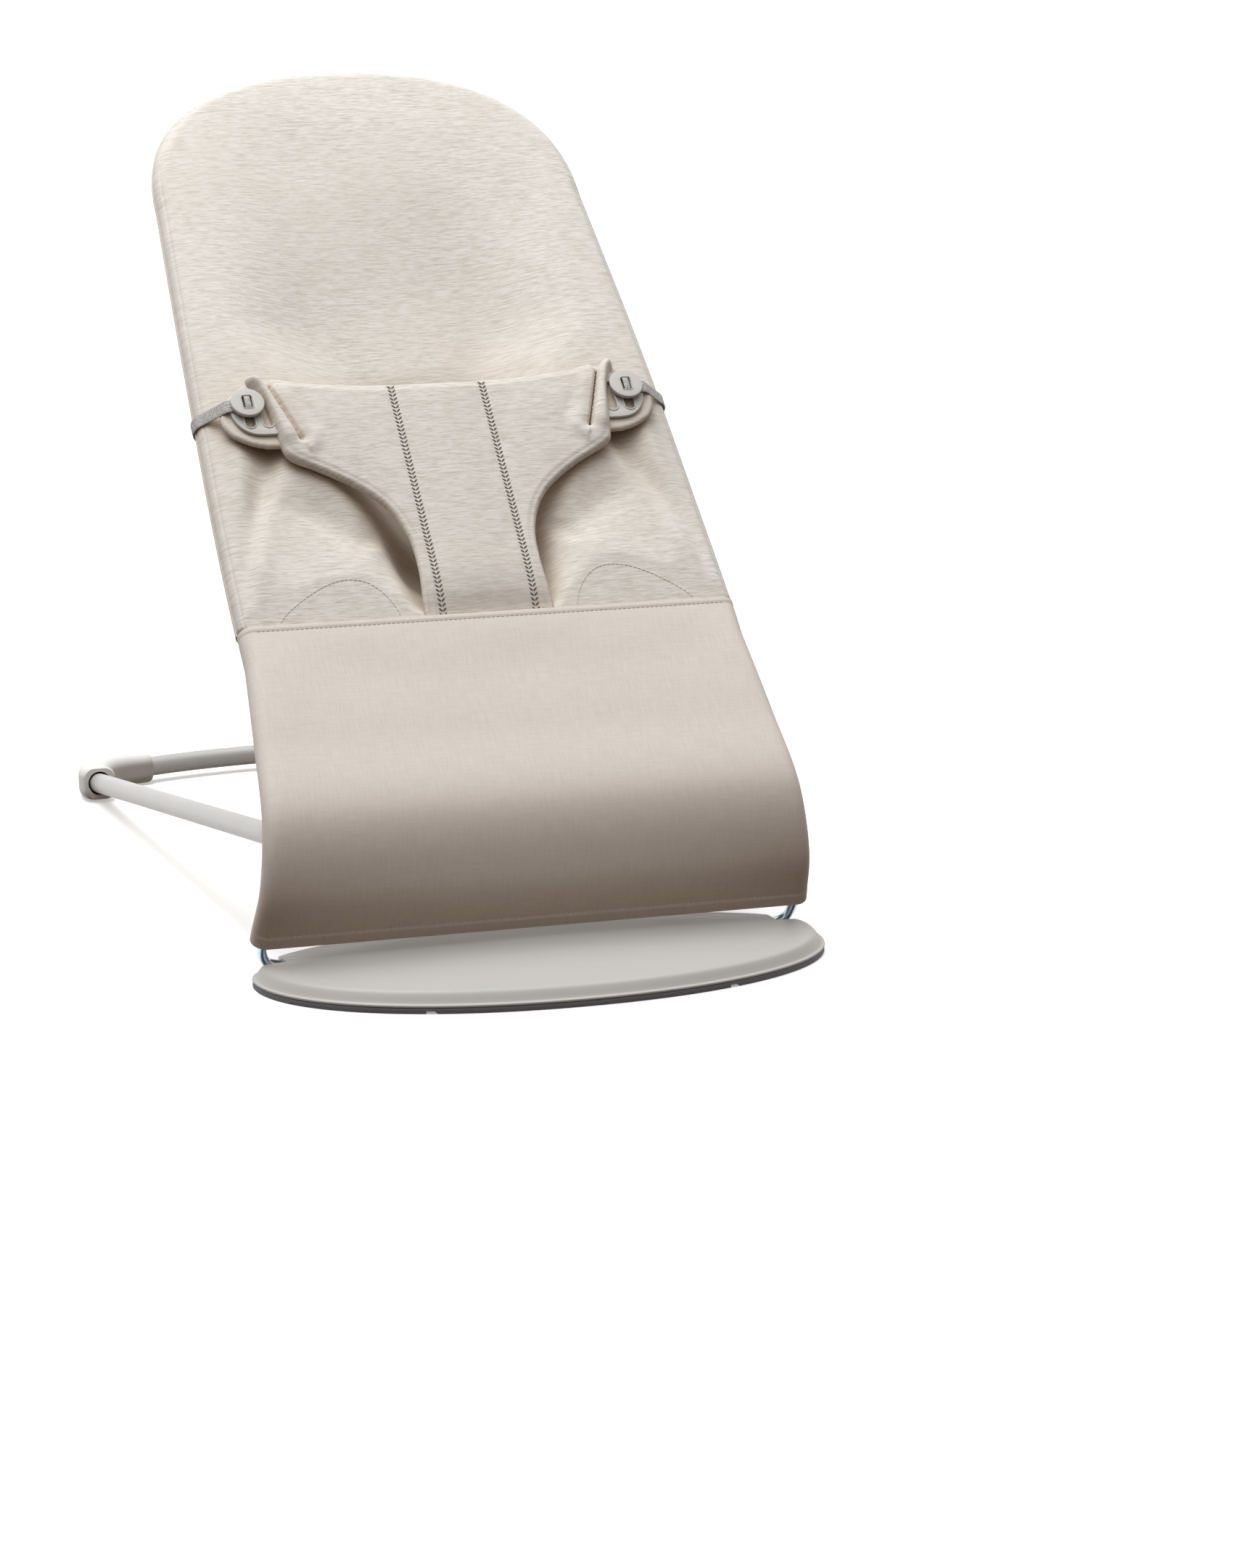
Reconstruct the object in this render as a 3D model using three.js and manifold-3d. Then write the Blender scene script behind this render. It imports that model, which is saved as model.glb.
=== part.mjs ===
// Baby bouncer seat: base plate, spring wire frame, folding rear leg and a padded seat on a tube loop.
// Millimetres, +Z up. The seat faces -Y, +X is the viewer's right, and the floor is z = 0.
import * as THREE from 'three';
import { mergeVertices } from 'three/addons/utils/BufferGeometryUtils.js';
import Module from 'manifold-3d';

const wasm = await Module();
wasm.setup();

// ---------------------------------------------------------------- driving dimensions

const GAP = 0.3; // between pieces that touch
const SIDES = [['left', -1], ['right', 1]];

// Base plate: an oval whose front and rear halves have different depths.
const PLATE = { centreY: -283, halfWidth: 194.5, front: 112, rear: 78, exponent: 2.1, points: 48 };
const PLATE_BOTTOM = 4;
const PLATE_WALL = 3;
const FLANGE = 15; // width of the solid rim, with no hollow above it
// Rings from the bottom up: inset from the oval, height, and how far the ring shrinks towards the centre.
const PLATE_RINGS = [
  [0.6, PLATE_BOTTOM, 1], [0, 5, 1], [0.4, 7, 1], [3, 8.6, 1],
  [18, 13.2, 1], [18, 15.2, 0.72], [18, 16.4, 0.4],
];
const HOLLOW_RINGS = [
  [FLANGE, PLATE_BOTTOM - 1, 1], [FLANGE, PLATE_BOTTOM + 4, 1], [24, 13.2 - PLATE_WALL, 1],
  [24, 15.2 - PLATE_WALL, 0.7], [24, 16.4 - PLATE_WALL, 0.38],
];
const RING = { inset: 1, width: 13, height: PLATE_BOTTOM - GAP };
const SLOT = { innerX: 169.5, outerX: 187.5, frontY: -271, rearY: -243 };
const RETAINER_X = [-120, 0, 120];
const RIB = { width: 18, frontY: -275, rearY: -241, bottom: 5.2, top: 13.4 };
const RETAINER = { halfWidth: 7, edge: 1, bottom: 3.5 };
const SCREW = { r: 1.5, headR: 2.9, headBottom: 1.6, headTop: 3.2, tip: 10.5, pitch: 22 };

// Spring wire: turns in the base plate about the recline axis.
const WIRE_R = 3.25;
const RECLINE_Y = -258;
const RECLINE_Z = 9;
const WIRE_RISER = [
  [160, RECLINE_Y, RECLINE_Z], [170, RECLINE_Y, RECLINE_Z], [180, RECLINE_Y - 0.5, RECLINE_Z + 3],
  [184, RECLINE_Y - 5, 21], [182.5, -275, 36], [176, -280, 48], [165, -279, 54], [158.5, -277.4, 58.5],
  [157, -277, 66], [157, -277, 74], [157, -277, 86],
];

// Side pivot, shared by the seat hub, the leg hub and the adjuster housing.
const PIVOT_Y = -263;
const PIVOT_Z = 95.4;
const PIN_R = 4;
const STACK = { // distances from the middle plane
  innerCheek: [132, 141], seatHub: [141.5, 151.5], outerCheek: [152, 162], legHub: [163, 176],
};
const PIN = { from: 130, to: 175.5, headFrom: 129, headTo: 131.6, headR: 7 };
const CHEEK_R = 17;
const HOUSING = { frontY: -284, rearY: -250, bottomZ: 66, webTop: 70.5 };
const SEAT_HUB_R = 14;
const LEG_HUB_R = 11;
const HUB_NECK = { halfX: 4.5, halfY: 7, height: 15.4, pegR: 4.4, pegTop: 19.5 };
const PLUNGER = { r: 2, radius: 20, tip: 167.5, tail: 122, collarR: 3, collar: [149.4, 151] };
const LOCK_SPRING = { turns: 3, steps: 8, coilR: 2.95, wireR: 0.45, clearance: 0.6 };
const KNOB_START = 117;
const KNOB_PROFILE = [ // radius, distance along the knob
  [0, 0], [7.5, 0], [8.5, 1.2], [8.5, 3.4], [5.2, 5.5], [5.2, 9.5], [6.6, 11.5], [0, 11.5],
];
const FOLD_ANGLE = 0.78; // radians that the leg hub turns in its housing, from upright to flat

// Tubes.
const TUBE_R = 7.5;
const TUBE_WALL = 1.2;
const TUBE_SIDES = 12;
const SPIGOT_R = 5.5;
const SLEEVE = { innerR: 3.6, half: 17 };

// Rear leg.
const LEG_X = 170;
const FOOT = { half: 12.5, cornerR: 8, boreR: 9, height: 12.2, frontY: 311, tubeEndY: 322 };
const CORNER = { inwardX: 120, inwardY: 370 };
const CORNER_BEND = [[LEG_X - 3, 342], [LEG_X - 13, 356], [LEG_X - 29, 364.5]];
const CROSS_HALF = [[CORNER.inwardX + 9, CORNER.inwardY - 3], [CORNER.inwardX - 30, 378], [45, 385.3]];
const CROSS_BOW_Y = 387.5;

// Seat surface: its side edges follow this profile, from the bottom hem to the top of the loop.
const EDGE_PROFILE = [
  [-275, 24], [-291.5, 62], [-284, 110], [-242, 157], [-190, 208],
  [-114, 276], [-11, 371.5], [96, 466], [201, 560],
];
const CAP = { start: 625, exponent: 2.35 };
const TUBE_INSET = 10; // tube centre, inwards from the edge of the cover
const TUBE_DEPTH = 11.3; // tube centre, below the surface of the cover
const JOINT_S = 590; // where the side arms meet the top loop
const ARM_FOOT = [[PIVOT_Y, 17.5], [PIVOT_Y + 0.6, 22]]; // y, and height above the pivot
const ARM_BEND = [[149.5, -255, 128], [158.5, -242.5, 141]];
const ARM_ALONG = [168, 200, 240, 290, 350, 430, 510, JOINT_S];

// Soft goods.
const PANEL_T = 2.2;
const PANEL_LOWER = [2, 92];
const PANEL_UPPER = [106, 243];
const COVER_START = 246;
const SEAT_DEPTH = 84;
const SAG = { edgeBand: 36, flat: 0.42, bowlIn: [252, 332], bowlOut: [372, 560] };
const BACK_SAG = { depth: 12, inOver: [372, 520], outOver: [600, 740] };
const COVER_PAD = 2.6; // extra thickness where the cover is padded
const RESTRAINT = { bottomS: 249, topS: 442, frontBottom: 3.6, frontTop: 17, backBottom: 0.6, backTop: 5.4 };
// Right half, from the bottom middle round to the top middle: distance across, distance along the seat.
const RESTRAINT_HALF = [
  [0, 249], [45.5, 249], [44, 282], [44.6, 296], [46, 308], [50, 320], [56, 332], [65.5, 344], [77, 354],
  [90, 363], [103, 371], [113, 380], [117, 400], [121.6, 420], [128, 441], [102, 441.5], [60, 438], [0, 435],
];

// Fasteners at the ends of the restraint panel.
const DISC = { x: 135.5, s: 422, r: 11.8, thick: 3.2, window: [5.5, 10], windowDepth: 2.2, shankR: 2.9 };
const DISC_FOOT = { extraR: 1.7, back: 1.9, front: 0.4 };
const KEYPLATE = {
  back: 5.8, front: 8.2, slotR: 3.3, slotTop: 3, slotTravel: 14, slotPitch: 12.5, inner: -24,
};
const KEYPLATE_EDGE = [
  [KEYPLATE.inner, -25], [-4, -24.6], [3, -21.5], [6.5, -18], [9, -14], [11.3, -7.5], [12.2, 0], [11.6, 4.8],
  [9.5, 9], [6.3, 12], [2, 13.5], [KEYPLATE.inner, 13.5],
];
const TAB = { back: 0.4, front: 3.4, points: 26 };
const TAB_EDGE = [[-34, -36], [-6, -31], [14, -18], [19, 0], [12, 15], [-8, 20], [-34, 18]];
const POCKET_DEPTH = 30;
const STRAP = { width: 10, thick: 1.2 };

// ---------------------------------------------------------------- materials

const paint = (color, roughness, metalness = 0) => (
  new THREE.MeshStandardMaterial({ color, roughness, metalness }));
const MATERIALS = {
  platePlastic: paint(0xc0bfbb, 0.55),
  rubberRim: paint(0x6e717a, 0.8),
  springSteel: paint(0xa9b9c6, 0.3, 0.9),
  zincSteel: paint(0xaeb0b2, 0.4, 0.9),
  tubePaint: paint(0xb9babc, 0.4, 0.3),
  greyPlastic: paint(0xaaaaaa, 0.5),
  softFoot: paint(0xa5a5a2, 0.7),
  jersey: paint(0xdedbd4, 0.95),
  woven: paint(0xcfc7bd, 0.9),
  elastic: paint(0xa8a8a6, 0.9),
};

// ---------------------------------------------------------------- geometry helpers

const vec = (x, y, z) => new THREE.Vector3(x, y, z);
const clamp01 = (t) => Math.min(1, Math.max(0, t));
const smooth = (a, b, t) => THREE.MathUtils.smoothstep(t, a, b);

function closed(geometry) {
  const bare = geometry.index ? geometry.toNonIndexed() : geometry;
  bare.deleteAttribute('normal');
  bare.deleteAttribute('uv');
  return mergeVertices(bare, 1e-4);
}

function toManifold(geometry) {
  const g = closed(geometry);
  const vertProperties = new Float32Array(g.attributes.position.array);
  const triVerts = new Uint32Array(g.index.array);
  return new wasm.Manifold(new wasm.Mesh({ numProp: 3, vertProperties, triVerts }));
}

function fromManifold(solid) {
  const mesh = solid.getMesh();
  const g = new THREE.BufferGeometry();
  g.setAttribute('position', new THREE.BufferAttribute(new Float32Array(mesh.vertProperties), 3));
  g.setIndex(new THREE.BufferAttribute(new Uint32Array(mesh.triVerts), 1));
  return g;
}

// Joins the first list of geometries and cuts the second list away.
function combine(added, removed = []) {
  const body = wasm.Manifold.union(added.map(toManifold));
  return fromManifold(removed.length ? body.subtract(wasm.Manifold.union(removed.map(toManifold))) : body);
}

function box(x0, x1, y0, y1, z0, z1) {
  const g = new THREE.BoxGeometry(x1 - x0, y1 - y0, z1 - z0);
  return g.translate((x0 + x1) / 2, (y0 + y1) / 2, (z0 + z1) / 2);
}

// Cylinder along X between two distances from the middle plane, on one side of the object.
function rodX(side, from, to, radius, y, z, segments = 24) {
  const g = new THREE.CylinderGeometry(radius, radius, to - from, segments);
  g.rotateZ(Math.PI / 2);
  return g.translate((side * (from + to)) / 2, y, z);
}

function rodZ(x, y, z0, z1, radius, segments = 12) {
  const g = new THREE.CylinderGeometry(radius, radius, z1 - z0, segments);
  g.rotateX(Math.PI / 2);
  return g.translate(x, y, (z0 + z1) / 2);
}

// Solid between rings of points that all have the same count, with flat fans at both ends.
function loft(rings) {
  const count = rings[0].length;
  const positions = rings.flat().flatMap((p) => [p.x, p.y, p.z]);
  const index = [];
  for (let r = 0; r + 1 < rings.length; r += 1) {
    for (let i = 0; i < count; i += 1) {
      const a = r * count + i;
      const b = r * count + ((i + 1) % count);
      index.push(a, b, a + count, b, b + count, a + count);
    }
  }
  const ends = [[0, true], [rings.length - 1, false]];
  for (const [r, flip] of ends) {
    const centre = rings[r].reduce((sum, p) => sum.add(p), vec(0, 0, 0)).divideScalar(count);
    const hub = positions.length / 3;
    positions.push(centre.x, centre.y, centre.z);
    for (let i = 0; i < count; i += 1) {
      const a = r * count + i;
      const b = r * count + ((i + 1) % count);
      index.push(hub, flip ? b : a, flip ? a : b);
    }
  }
  const g = new THREE.BufferGeometry();
  g.setAttribute('position', new THREE.Float32BufferAttribute(positions, 3));
  g.setIndex(index);
  return g;
}

// Sheet with thickness: a subdivided box whose corners (u, v, w) in 0..1 go where place() says.
function sheet(columns, rows, place) {
  const g = new THREE.BoxGeometry(1, 1, 1, columns, rows, 1);
  const p = g.attributes.position;
  for (let i = 0; i < p.count; i += 1) {
    const q = place(p.getX(i) + 0.5, p.getY(i) + 0.5, p.getZ(i) + 0.5);
    p.setXYZ(i, q.x, q.y, q.z);
  }
  return closed(g);
}

function ringShape(outer, inner, segments) {
  const point = (r, i) => new THREE.Vector2(
    r * Math.cos((2 * Math.PI * i) / segments), r * Math.sin((2 * Math.PI * i) / segments));
  const ring = (r) => Array.from({ length: segments }, (_, i) => point(r, i));
  const shape = new THREE.Shape(ring(outer));
  if (inner > 0) shape.holes.push(new THREE.Path(ring(inner).reverse()));
  return shape;
}

function sweep(shape, points, steps, curveSegments = 6) {
  const extrudePath = points.length === 2
    ? new THREE.LineCurve3(points[0], points[1]) : new THREE.CatmullRomCurve3(points);
  return new THREE.ExtrudeGeometry(shape, { steps, extrudePath, curveSegments });
}

const tube = (points, steps, inner = TUBE_R - TUBE_WALL) => sweep(
  ringShape(TUBE_R, inner, TUBE_SIDES), points, steps);

const mirrored = (side, points) => points.map(([x, y, z]) => vec(side * x, y, z));
const bySize = (a, b) => [Math.min(a, b), Math.max(a, b)];

// ---------------------------------------------------------------- seat surface

const edgeCurve = new THREE.CatmullRomCurve3(
  EDGE_PROFILE.map(([y, z]) => vec(0, y, z)), false, 'centripetal');
edgeCurve.arcLengthDivisions = 800;
const EDGE_LENGTH = edgeCurve.getLength();

// Half width of the seat at distance s along the edge profile, up to where the top cap starts.
function halfWidth(s) {
  const flare = 18.7 * Math.max(0, 1 - s / 215);
  const taper = 16.8 * Math.max(0, (s - 230) / 395) ** 1.5;
  return 173.6 + flare - taper;
}

// Distance along the profile where the rounded top ends, for a fraction of the half width.
function capEnd(fraction, inset = 0) {
  const height = EDGE_LENGTH - CAP.start - inset;
  return CAP.start + height * (1 - Math.min(1, Math.abs(fraction)) ** CAP.exponent) ** (1 / CAP.exponent);
}

// Point on the seat surface, raised above it by the offset.
function seatPoint(s, x, offset = 0) {
  const t = clamp01(s / EDGE_LENGTH);
  const p = edgeCurve.getPointAt(t);
  const d = edgeCurve.getTangentAt(t);
  return vec(x, p.y - d.z * offset, p.z + d.y * offset);
}

// How far the slung fabric hangs below the plane of its edges.
function sag(s, x) {
  const across = clamp01(Math.abs(x) / (halfWidth(Math.min(s, CAP.start)) - SAG.edgeBand));
  const bowl = SEAT_DEPTH * smooth(...SAG.bowlIn, s) * (1 - smooth(...SAG.bowlOut, s));
  const back = BACK_SAG.depth * smooth(...BACK_SAG.inOver, s) * (1 - smooth(...BACK_SAG.outOver, s));
  return (bowl + back) * (1 - smooth(SAG.flat, 1, across));
}

// ---------------------------------------------------------------- base

// Ring of the base plate's oval, drawn in by an inset and then scaled about its centre.
function plateRing([inset, z, scale]) {
  const power = 2 / PLATE.exponent;
  return Array.from({ length: PLATE.points }, (_, i) => {
    const angle = (2 * Math.PI * i) / PLATE.points;
    const c = Math.cos(angle);
    const s = Math.sin(angle);
    const depth = s < 0 ? PLATE.front : PLATE.rear;
    const x = scale * (PLATE.halfWidth - inset) * Math.sign(c) * Math.abs(c) ** power;
    const y = scale * (depth - inset) * Math.sign(s) * Math.abs(s) ** power;
    return vec(x, PLATE.centreY + y, z);
  });
}

const screwPlaces = () => RETAINER_X.flatMap(
  (x) => [-1, 1].map((end) => [x, RECLINE_Y + (end * SCREW.pitch) / 2]));

function basePlate() {
  const shell = combine([loft(PLATE_RINGS.map(plateRing))], [loft(HOLLOW_RINGS.map(plateRing))]);
  const ribs = RETAINER_X.map((x) => box(
    x - RIB.width / 2, x + RIB.width / 2, RIB.frontY, RIB.rearY, RIB.bottom, RIB.top));
  const grooveR = WIRE_R + GAP;
  const groove = [
    box(-190, 190, RECLINE_Y - grooveR, RECLINE_Y + grooveR, PLATE_BOTTOM - 1, RECLINE_Z),
    rodX(1, -180, 180, grooveR, RECLINE_Y, RECLINE_Z),
  ];
  const slots = SIDES.map(([, side]) => box(
    ...bySize(side * SLOT.innerX, side * SLOT.outerX), SLOT.frontY, SLOT.rearY, 3, 20));
  const screwHoles = screwPlaces().map(([x, y]) => rodZ(x, y, 3, SCREW.tip + 0.5, SCREW.r + GAP));
  return combine([shell, ...ribs], [...groove, ...slots, ...screwHoles]);
}

function floorRing() {
  const edge = (inset, z) => plateRing([inset, z, 1]);
  const inner = RING.inset + RING.width;
  return combine(
    [loft([edge(RING.inset, 0), edge(RING.inset, RING.height)])],
    [loft([edge(inner, -1), edge(inner, RING.height + 1)])]);
}

function wireRetainer(x) {
  const plate = box(
    x - RETAINER.halfWidth, x + RETAINER.halfWidth, RIB.frontY + RETAINER.edge, RIB.rearY - RETAINER.edge,
    RETAINER.bottom, RIB.bottom - GAP);
  const holes = screwPlaces().map(([hx, hy]) => rodZ(hx, hy, 2, 6, SCREW.r + GAP));
  return combine([plate], holes);
}

const retainerScrew = ([x, y]) => combine([
  rodZ(x, y, SCREW.headBottom, SCREW.headTop, SCREW.headR), rodZ(x, y, 3, SCREW.tip, SCREW.r)]);

// ---------------------------------------------------------------- front frame

function springWire() {
  const riser = (side) => sweep(ringShape(WIRE_R, 0, 8), mirrored(side, WIRE_RISER), 26);
  return combine([rodX(1, -162, 162, WIRE_R, RECLINE_Y, RECLINE_Z, 8), riser(-1), riser(1)]);
}

// Socket in the housing that the straight end of the wire stands in.
function wireSocket(side) {
  const [x, y, top] = WIRE_RISER.at(-1);
  return rodZ(side * x, y, HOUSING.bottomZ - 8, top + GAP, WIRE_R + GAP);
}

function adjusterHousing(side) {
  const block = (from, to, top) => box(
    ...bySize(side * from, side * to), HOUSING.frontY, HOUSING.rearY, HOUSING.bottomZ, top);
  const cheek = ([from, to]) => [
    rodX(side, from, to, CHEEK_R, PIVOT_Y, PIVOT_Z, 28), block(from, to, PIVOT_Z)];
  const web = block(STACK.innerCheek[0], STACK.outerCheek[1], HOUSING.webTop);
  return combine(
    [...cheek(STACK.innerCheek), ...cheek(STACK.outerCheek), web],
    [
      rodX(side, 120, 180, PIN_R + GAP, PIVOT_Y, PIVOT_Z),
      rodX(side, 120, 180, PLUNGER.r + GAP, PIVOT_Y, PIVOT_Z - PLUNGER.radius, 16),
      wireSocket(side),
    ]);
}

const pivotPin = (side) => combine([
  rodX(side, PIN.from, PIN.to, PIN_R, PIVOT_Y, PIVOT_Z),
  rodX(side, PIN.headFrom, PIN.headTo, PIN.headR, PIVOT_Y, PIVOT_Z),
]);

function lockSpring(side) {
  const { turns, steps, coilR, wireR, clearance } = LOCK_SPRING;
  const from = STACK.innerCheek[1] + clearance;
  const length = PLUNGER.collar[0] - clearance - from;
  const points = Array.from({ length: turns * steps + 1 }, (_, i) => {
    const angle = (2 * Math.PI * i) / steps;
    const x = side * (from + (length * i) / (turns * steps));
    return vec(x, PIVOT_Y + coilR * Math.cos(angle), PIVOT_Z - PLUNGER.radius + coilR * Math.sin(angle));
  });
  return sweep(ringShape(wireR, 0, 5), points, turns * steps);
}

// ---------------------------------------------------------------- lock

const lockPlunger = (side) => combine([
  rodX(side, PLUNGER.tail, PLUNGER.tip, PLUNGER.r, PIVOT_Y, PIVOT_Z - PLUNGER.radius, 14),
  rodX(side, ...PLUNGER.collar, PLUNGER.collarR, PIVOT_Y, PIVOT_Z - PLUNGER.radius, 14),
]);

// Waisted pull knob, blind-bored for the tail of the plunger.
function lockKnob(side) {
  const knob = new THREE.LatheGeometry(KNOB_PROFILE.map(([r, h]) => new THREE.Vector2(r, h)), 20);
  knob.rotateZ(side > 0 ? -Math.PI / 2 : Math.PI / 2);
  knob.translate(side * KNOB_START, PIVOT_Y, PIVOT_Z - PLUNGER.radius);
  return combine([knob], [
    rodX(side, PLUNGER.tail - GAP, 140, PLUNGER.r + GAP, PIVOT_Y, PIVOT_Z - PLUNGER.radius, 14)]);
}

// ---------------------------------------------------------------- rear leg

const legStart = vec(LEG_X, PIVOT_Y, PIVOT_Z);
const legLevel = vec(LEG_X, FOOT.tubeEndY + 6, FOOT.height);
const legDirection = legLevel.clone().sub(legStart).normalize();
const alongLeg = (side, distance) => {
  const p = legStart.clone().addScaledVector(legDirection, distance);
  return vec(side * p.x, p.y, p.z);
};
const legDistance = (y) => (y - PIVOT_Y) / legDirection.y;

// Flat shape in the YZ plane about the pivot, given thickness between two distances from the middle.
function plateYZ(side, shape, from, to) {
  const g = new THREE.ExtrudeGeometry(shape, { depth: to - from, bevelEnabled: false, curveSegments: 10 });
  g.rotateX(Math.PI / 2);
  g.rotateZ(Math.PI / 2);
  return g.translate(side > 0 ? from : -to, PIVOT_Y, PIVOT_Z);
}

function arcBand(inner, outer, from, to, segments) {
  const at = (r, i) => {
    const angle = from + ((to - from) * i) / segments;
    return new THREE.Vector2(r * Math.cos(angle), r * Math.sin(angle));
  };
  const steps = Array.from({ length: segments + 1 }, (_, i) => i);
  return new THREE.Shape([...steps.map((i) => at(outer, i)), ...steps.map((i) => at(inner, i)).reverse()]);
}

function legHub(side) {
  const [from, to] = STACK.legHub;
  const down = -Math.PI / 2;
  const lobe = arcBand(4, PLUNGER.radius + 4, down - FOLD_ANGLE - 0.18, down + 0.25, 14);
  const grooveHalf = PLUNGER.r + GAP + 0.1;
  const groove = arcBand(
    PLUNGER.radius - grooveHalf, PLUNGER.radius + grooveHalf, down - FOLD_ANGLE - 0.03, down, 14);
  const endRound = (angle) => rodX(
    side, from - 1, PLUNGER.tip + 1, grooveHalf,
    PIVOT_Y + PLUNGER.radius * Math.cos(angle), PIVOT_Z + PLUNGER.radius * Math.sin(angle), 16);
  const spigot = sweep(ringShape(SPIGOT_R, 0, 10), [alongLeg(side, 8), alongLeg(side, 42)], 1);
  return combine(
    [rodX(side, from, to, LEG_HUB_R, PIVOT_Y, PIVOT_Z, 28), plateYZ(side, lobe, from, to), spigot],
    [
      rodX(side, from - 1, to + 1, PIN_R + GAP, PIVOT_Y, PIVOT_Z),
      plateYZ(side, groove, from - 1, PLUNGER.tip + 1),
      endRound(down),
      endRound(down - FOLD_ANGLE - 0.03),
    ]);
}

const legSideTube = (side) => tube(
  [alongLeg(side, LEG_HUB_R + 0.5), alongLeg(side, legDistance(FOOT.tubeEndY))], 1);

// Points of the U behind at the height of its tube, mirrored to one side.
const onFloorLine = (side, points) => points.map(([x, y]) => vec(side * x, y, FOOT.height));

// Centreline of a corner foot: out of the side tube and round to the cross tube.
function cornerPath(side) {
  const start = alongLeg(side, legDistance(FOOT.frontY));
  const level = alongLeg(side, legDistance(FOOT.tubeEndY + 6));
  return [start, level, ...onFloorLine(side, [...CORNER_BEND, [CORNER.inwardX, CORNER.inwardY]])];
}

function cornerFoot(side) {
  const h = FOOT.half;
  const r = FOOT.cornerR;
  const shape = new THREE.Shape();
  shape.moveTo(-h + r, -h);
  shape.lineTo(h - r, -h);
  shape.absarc(h - r, -h + r, r, -Math.PI / 2, 0);
  shape.absarc(h - r, h - r, r, 0, Math.PI / 2);
  shape.absarc(-h + r, h - r, r, Math.PI / 2, Math.PI);
  shape.absarc(-h + r, -h + r, r, Math.PI, 1.5 * Math.PI);
  shape.holes = ringShape(h, FOOT.boreR, 10).holes;
  return combine([sweep(shape, cornerPath(side), 10, 3)], [box(-200, 200, 300, 400, -10, 0)]);
}

function legCrossTube() {
  const half = (side) => onFloorLine(side, CROSS_HALF);
  return tube([...half(-1), vec(0, CROSS_BOW_Y, FOOT.height), ...half(1).reverse()], 12);
}

// ---------------------------------------------------------------- seat frame

const tubePoint = (s, side) => seatPoint(s, side * (halfWidth(s) - TUBE_INSET), -TUBE_DEPTH);

function seatHub(side) {
  const [from, to] = STACK.seatHub;
  const middle = (side * (from + to)) / 2;
  const { halfX, halfY, height, pegR, pegTop } = HUB_NECK;
  return combine(
    [
      rodX(side, from, to, SEAT_HUB_R, PIVOT_Y, PIVOT_Z, 28),
      box(middle - halfX, middle + halfX, PIVOT_Y - halfY, PIVOT_Y + halfY, PIVOT_Z, PIVOT_Z + height),
      rodZ(middle, PIVOT_Y, PIVOT_Z + height - 0.4, PIVOT_Z + pegTop, pegR, 10),
    ],
    [rodX(side, from - 1, to + 1, PIN_R + GAP, PIVOT_Y, PIVOT_Z)]);
}

function seatArm(side) {
  const [from, to] = STACK.seatHub;
  const foot = ARM_FOOT.map(([y, rise]) => vec((side * (from + to)) / 2, y, PIVOT_Z + rise));
  return tube([...foot, ...mirrored(side, ARM_BEND), ...ARM_ALONG.map((s) => tubePoint(s, side))], 22);
}

function seatTop() {
  const limit = halfWidth(CAP.start) - TUBE_INSET;
  const rim = (x) => seatPoint(capEnd(x / limit, TUBE_INSET), x, -TUBE_DEPTH);
  const cap = [0.985, 0.93, 0.82, 0.66, 0.46, 0.24].map((f) => f * limit);
  const half = (side) => [
    tubePoint(JOINT_S + 0.4, side), tubePoint(JOINT_S + 22, side), ...cap.map((x) => rim(side * x))];
  return tube([...half(-1), rim(0), ...half(1).reverse()], 26);
}

const jointSleeve = (side) => sweep(
  ringShape(SPIGOT_R, SLEEVE.innerR, 8),
  [tubePoint(JOINT_S - SLEEVE.half, side), tubePoint(JOINT_S + SLEEVE.half, side)], 1);

// ---------------------------------------------------------------- soft goods

const frontPanel = ([from, to], rows) => sheet(6, rows, (u, v, w) => {
  const s = from + (to - from) * v;
  return seatPoint(s, (2 * u - 1) * halfWidth(s), -PANEL_T * (1 - w));
});

// Slung cover from the panel seam to the rounded top; thin over the tube, thicker where it is padded.
const seatCover = () => sheet(20, 26, (u, v, w) => {
  const fraction = 2 * u - 1;
  const s = COVER_START + (capEnd(fraction) - COVER_START) * v;
  const x = fraction * halfWidth(Math.min(s, CAP.start));
  const inside = 1 - smooth(0.7, 0.86, Math.abs(fraction));
  const thick = PANEL_T + COVER_PAD * inside * smooth(0, 0.08, v) * (1 - smooth(0.86, 0.95, v));
  return seatPoint(s, x, -sag(s, x) - thick * (1 - w));
});

// Places a point of the restraint panel's plane: x across, s along the seat, depth 0 at the back, 1 in front.
function restraintPoint(x, s, depth) {
  const t = (s - RESTRAINT.bottomS) / (RESTRAINT.topS - RESTRAINT.bottomS);
  const back = seatPoint(RESTRAINT.bottomS, x, RESTRAINT.backBottom)
    .lerp(seatPoint(RESTRAINT.topS, x, RESTRAINT.backTop), t);
  const front = seatPoint(RESTRAINT.bottomS, x, RESTRAINT.frontBottom)
    .lerp(seatPoint(RESTRAINT.topS, x, RESTRAINT.frontTop), t);
  return back.lerp(front, depth);
}

// Plane frame of the fasteners: origin on the restraint panel's back at the disc centre.
const fastenerOrigin = restraintPoint(0, DISC.s, 0);
const restraintBottom = restraintPoint(0, RESTRAINT.bottomS, 0);
const fastenerUp = restraintPoint(0, RESTRAINT.topS, 0).sub(restraintBottom).normalize();
const fastenerOut = vec(0, -fastenerUp.z, fastenerUp.y);
const FASTENER_TILT = Math.atan2(fastenerUp.z, fastenerUp.y);

// Moves geometry drawn in a fastener's own frame (X outwards, Y up the seat, Z off the seat) into place.
function onFastener(side, geometry) {
  geometry.rotateX(FASTENER_TILT);
  geometry.translate(DISC.x, fastenerOrigin.y, fastenerOrigin.z);
  return side > 0 ? geometry : flipX(geometry);
}

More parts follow.
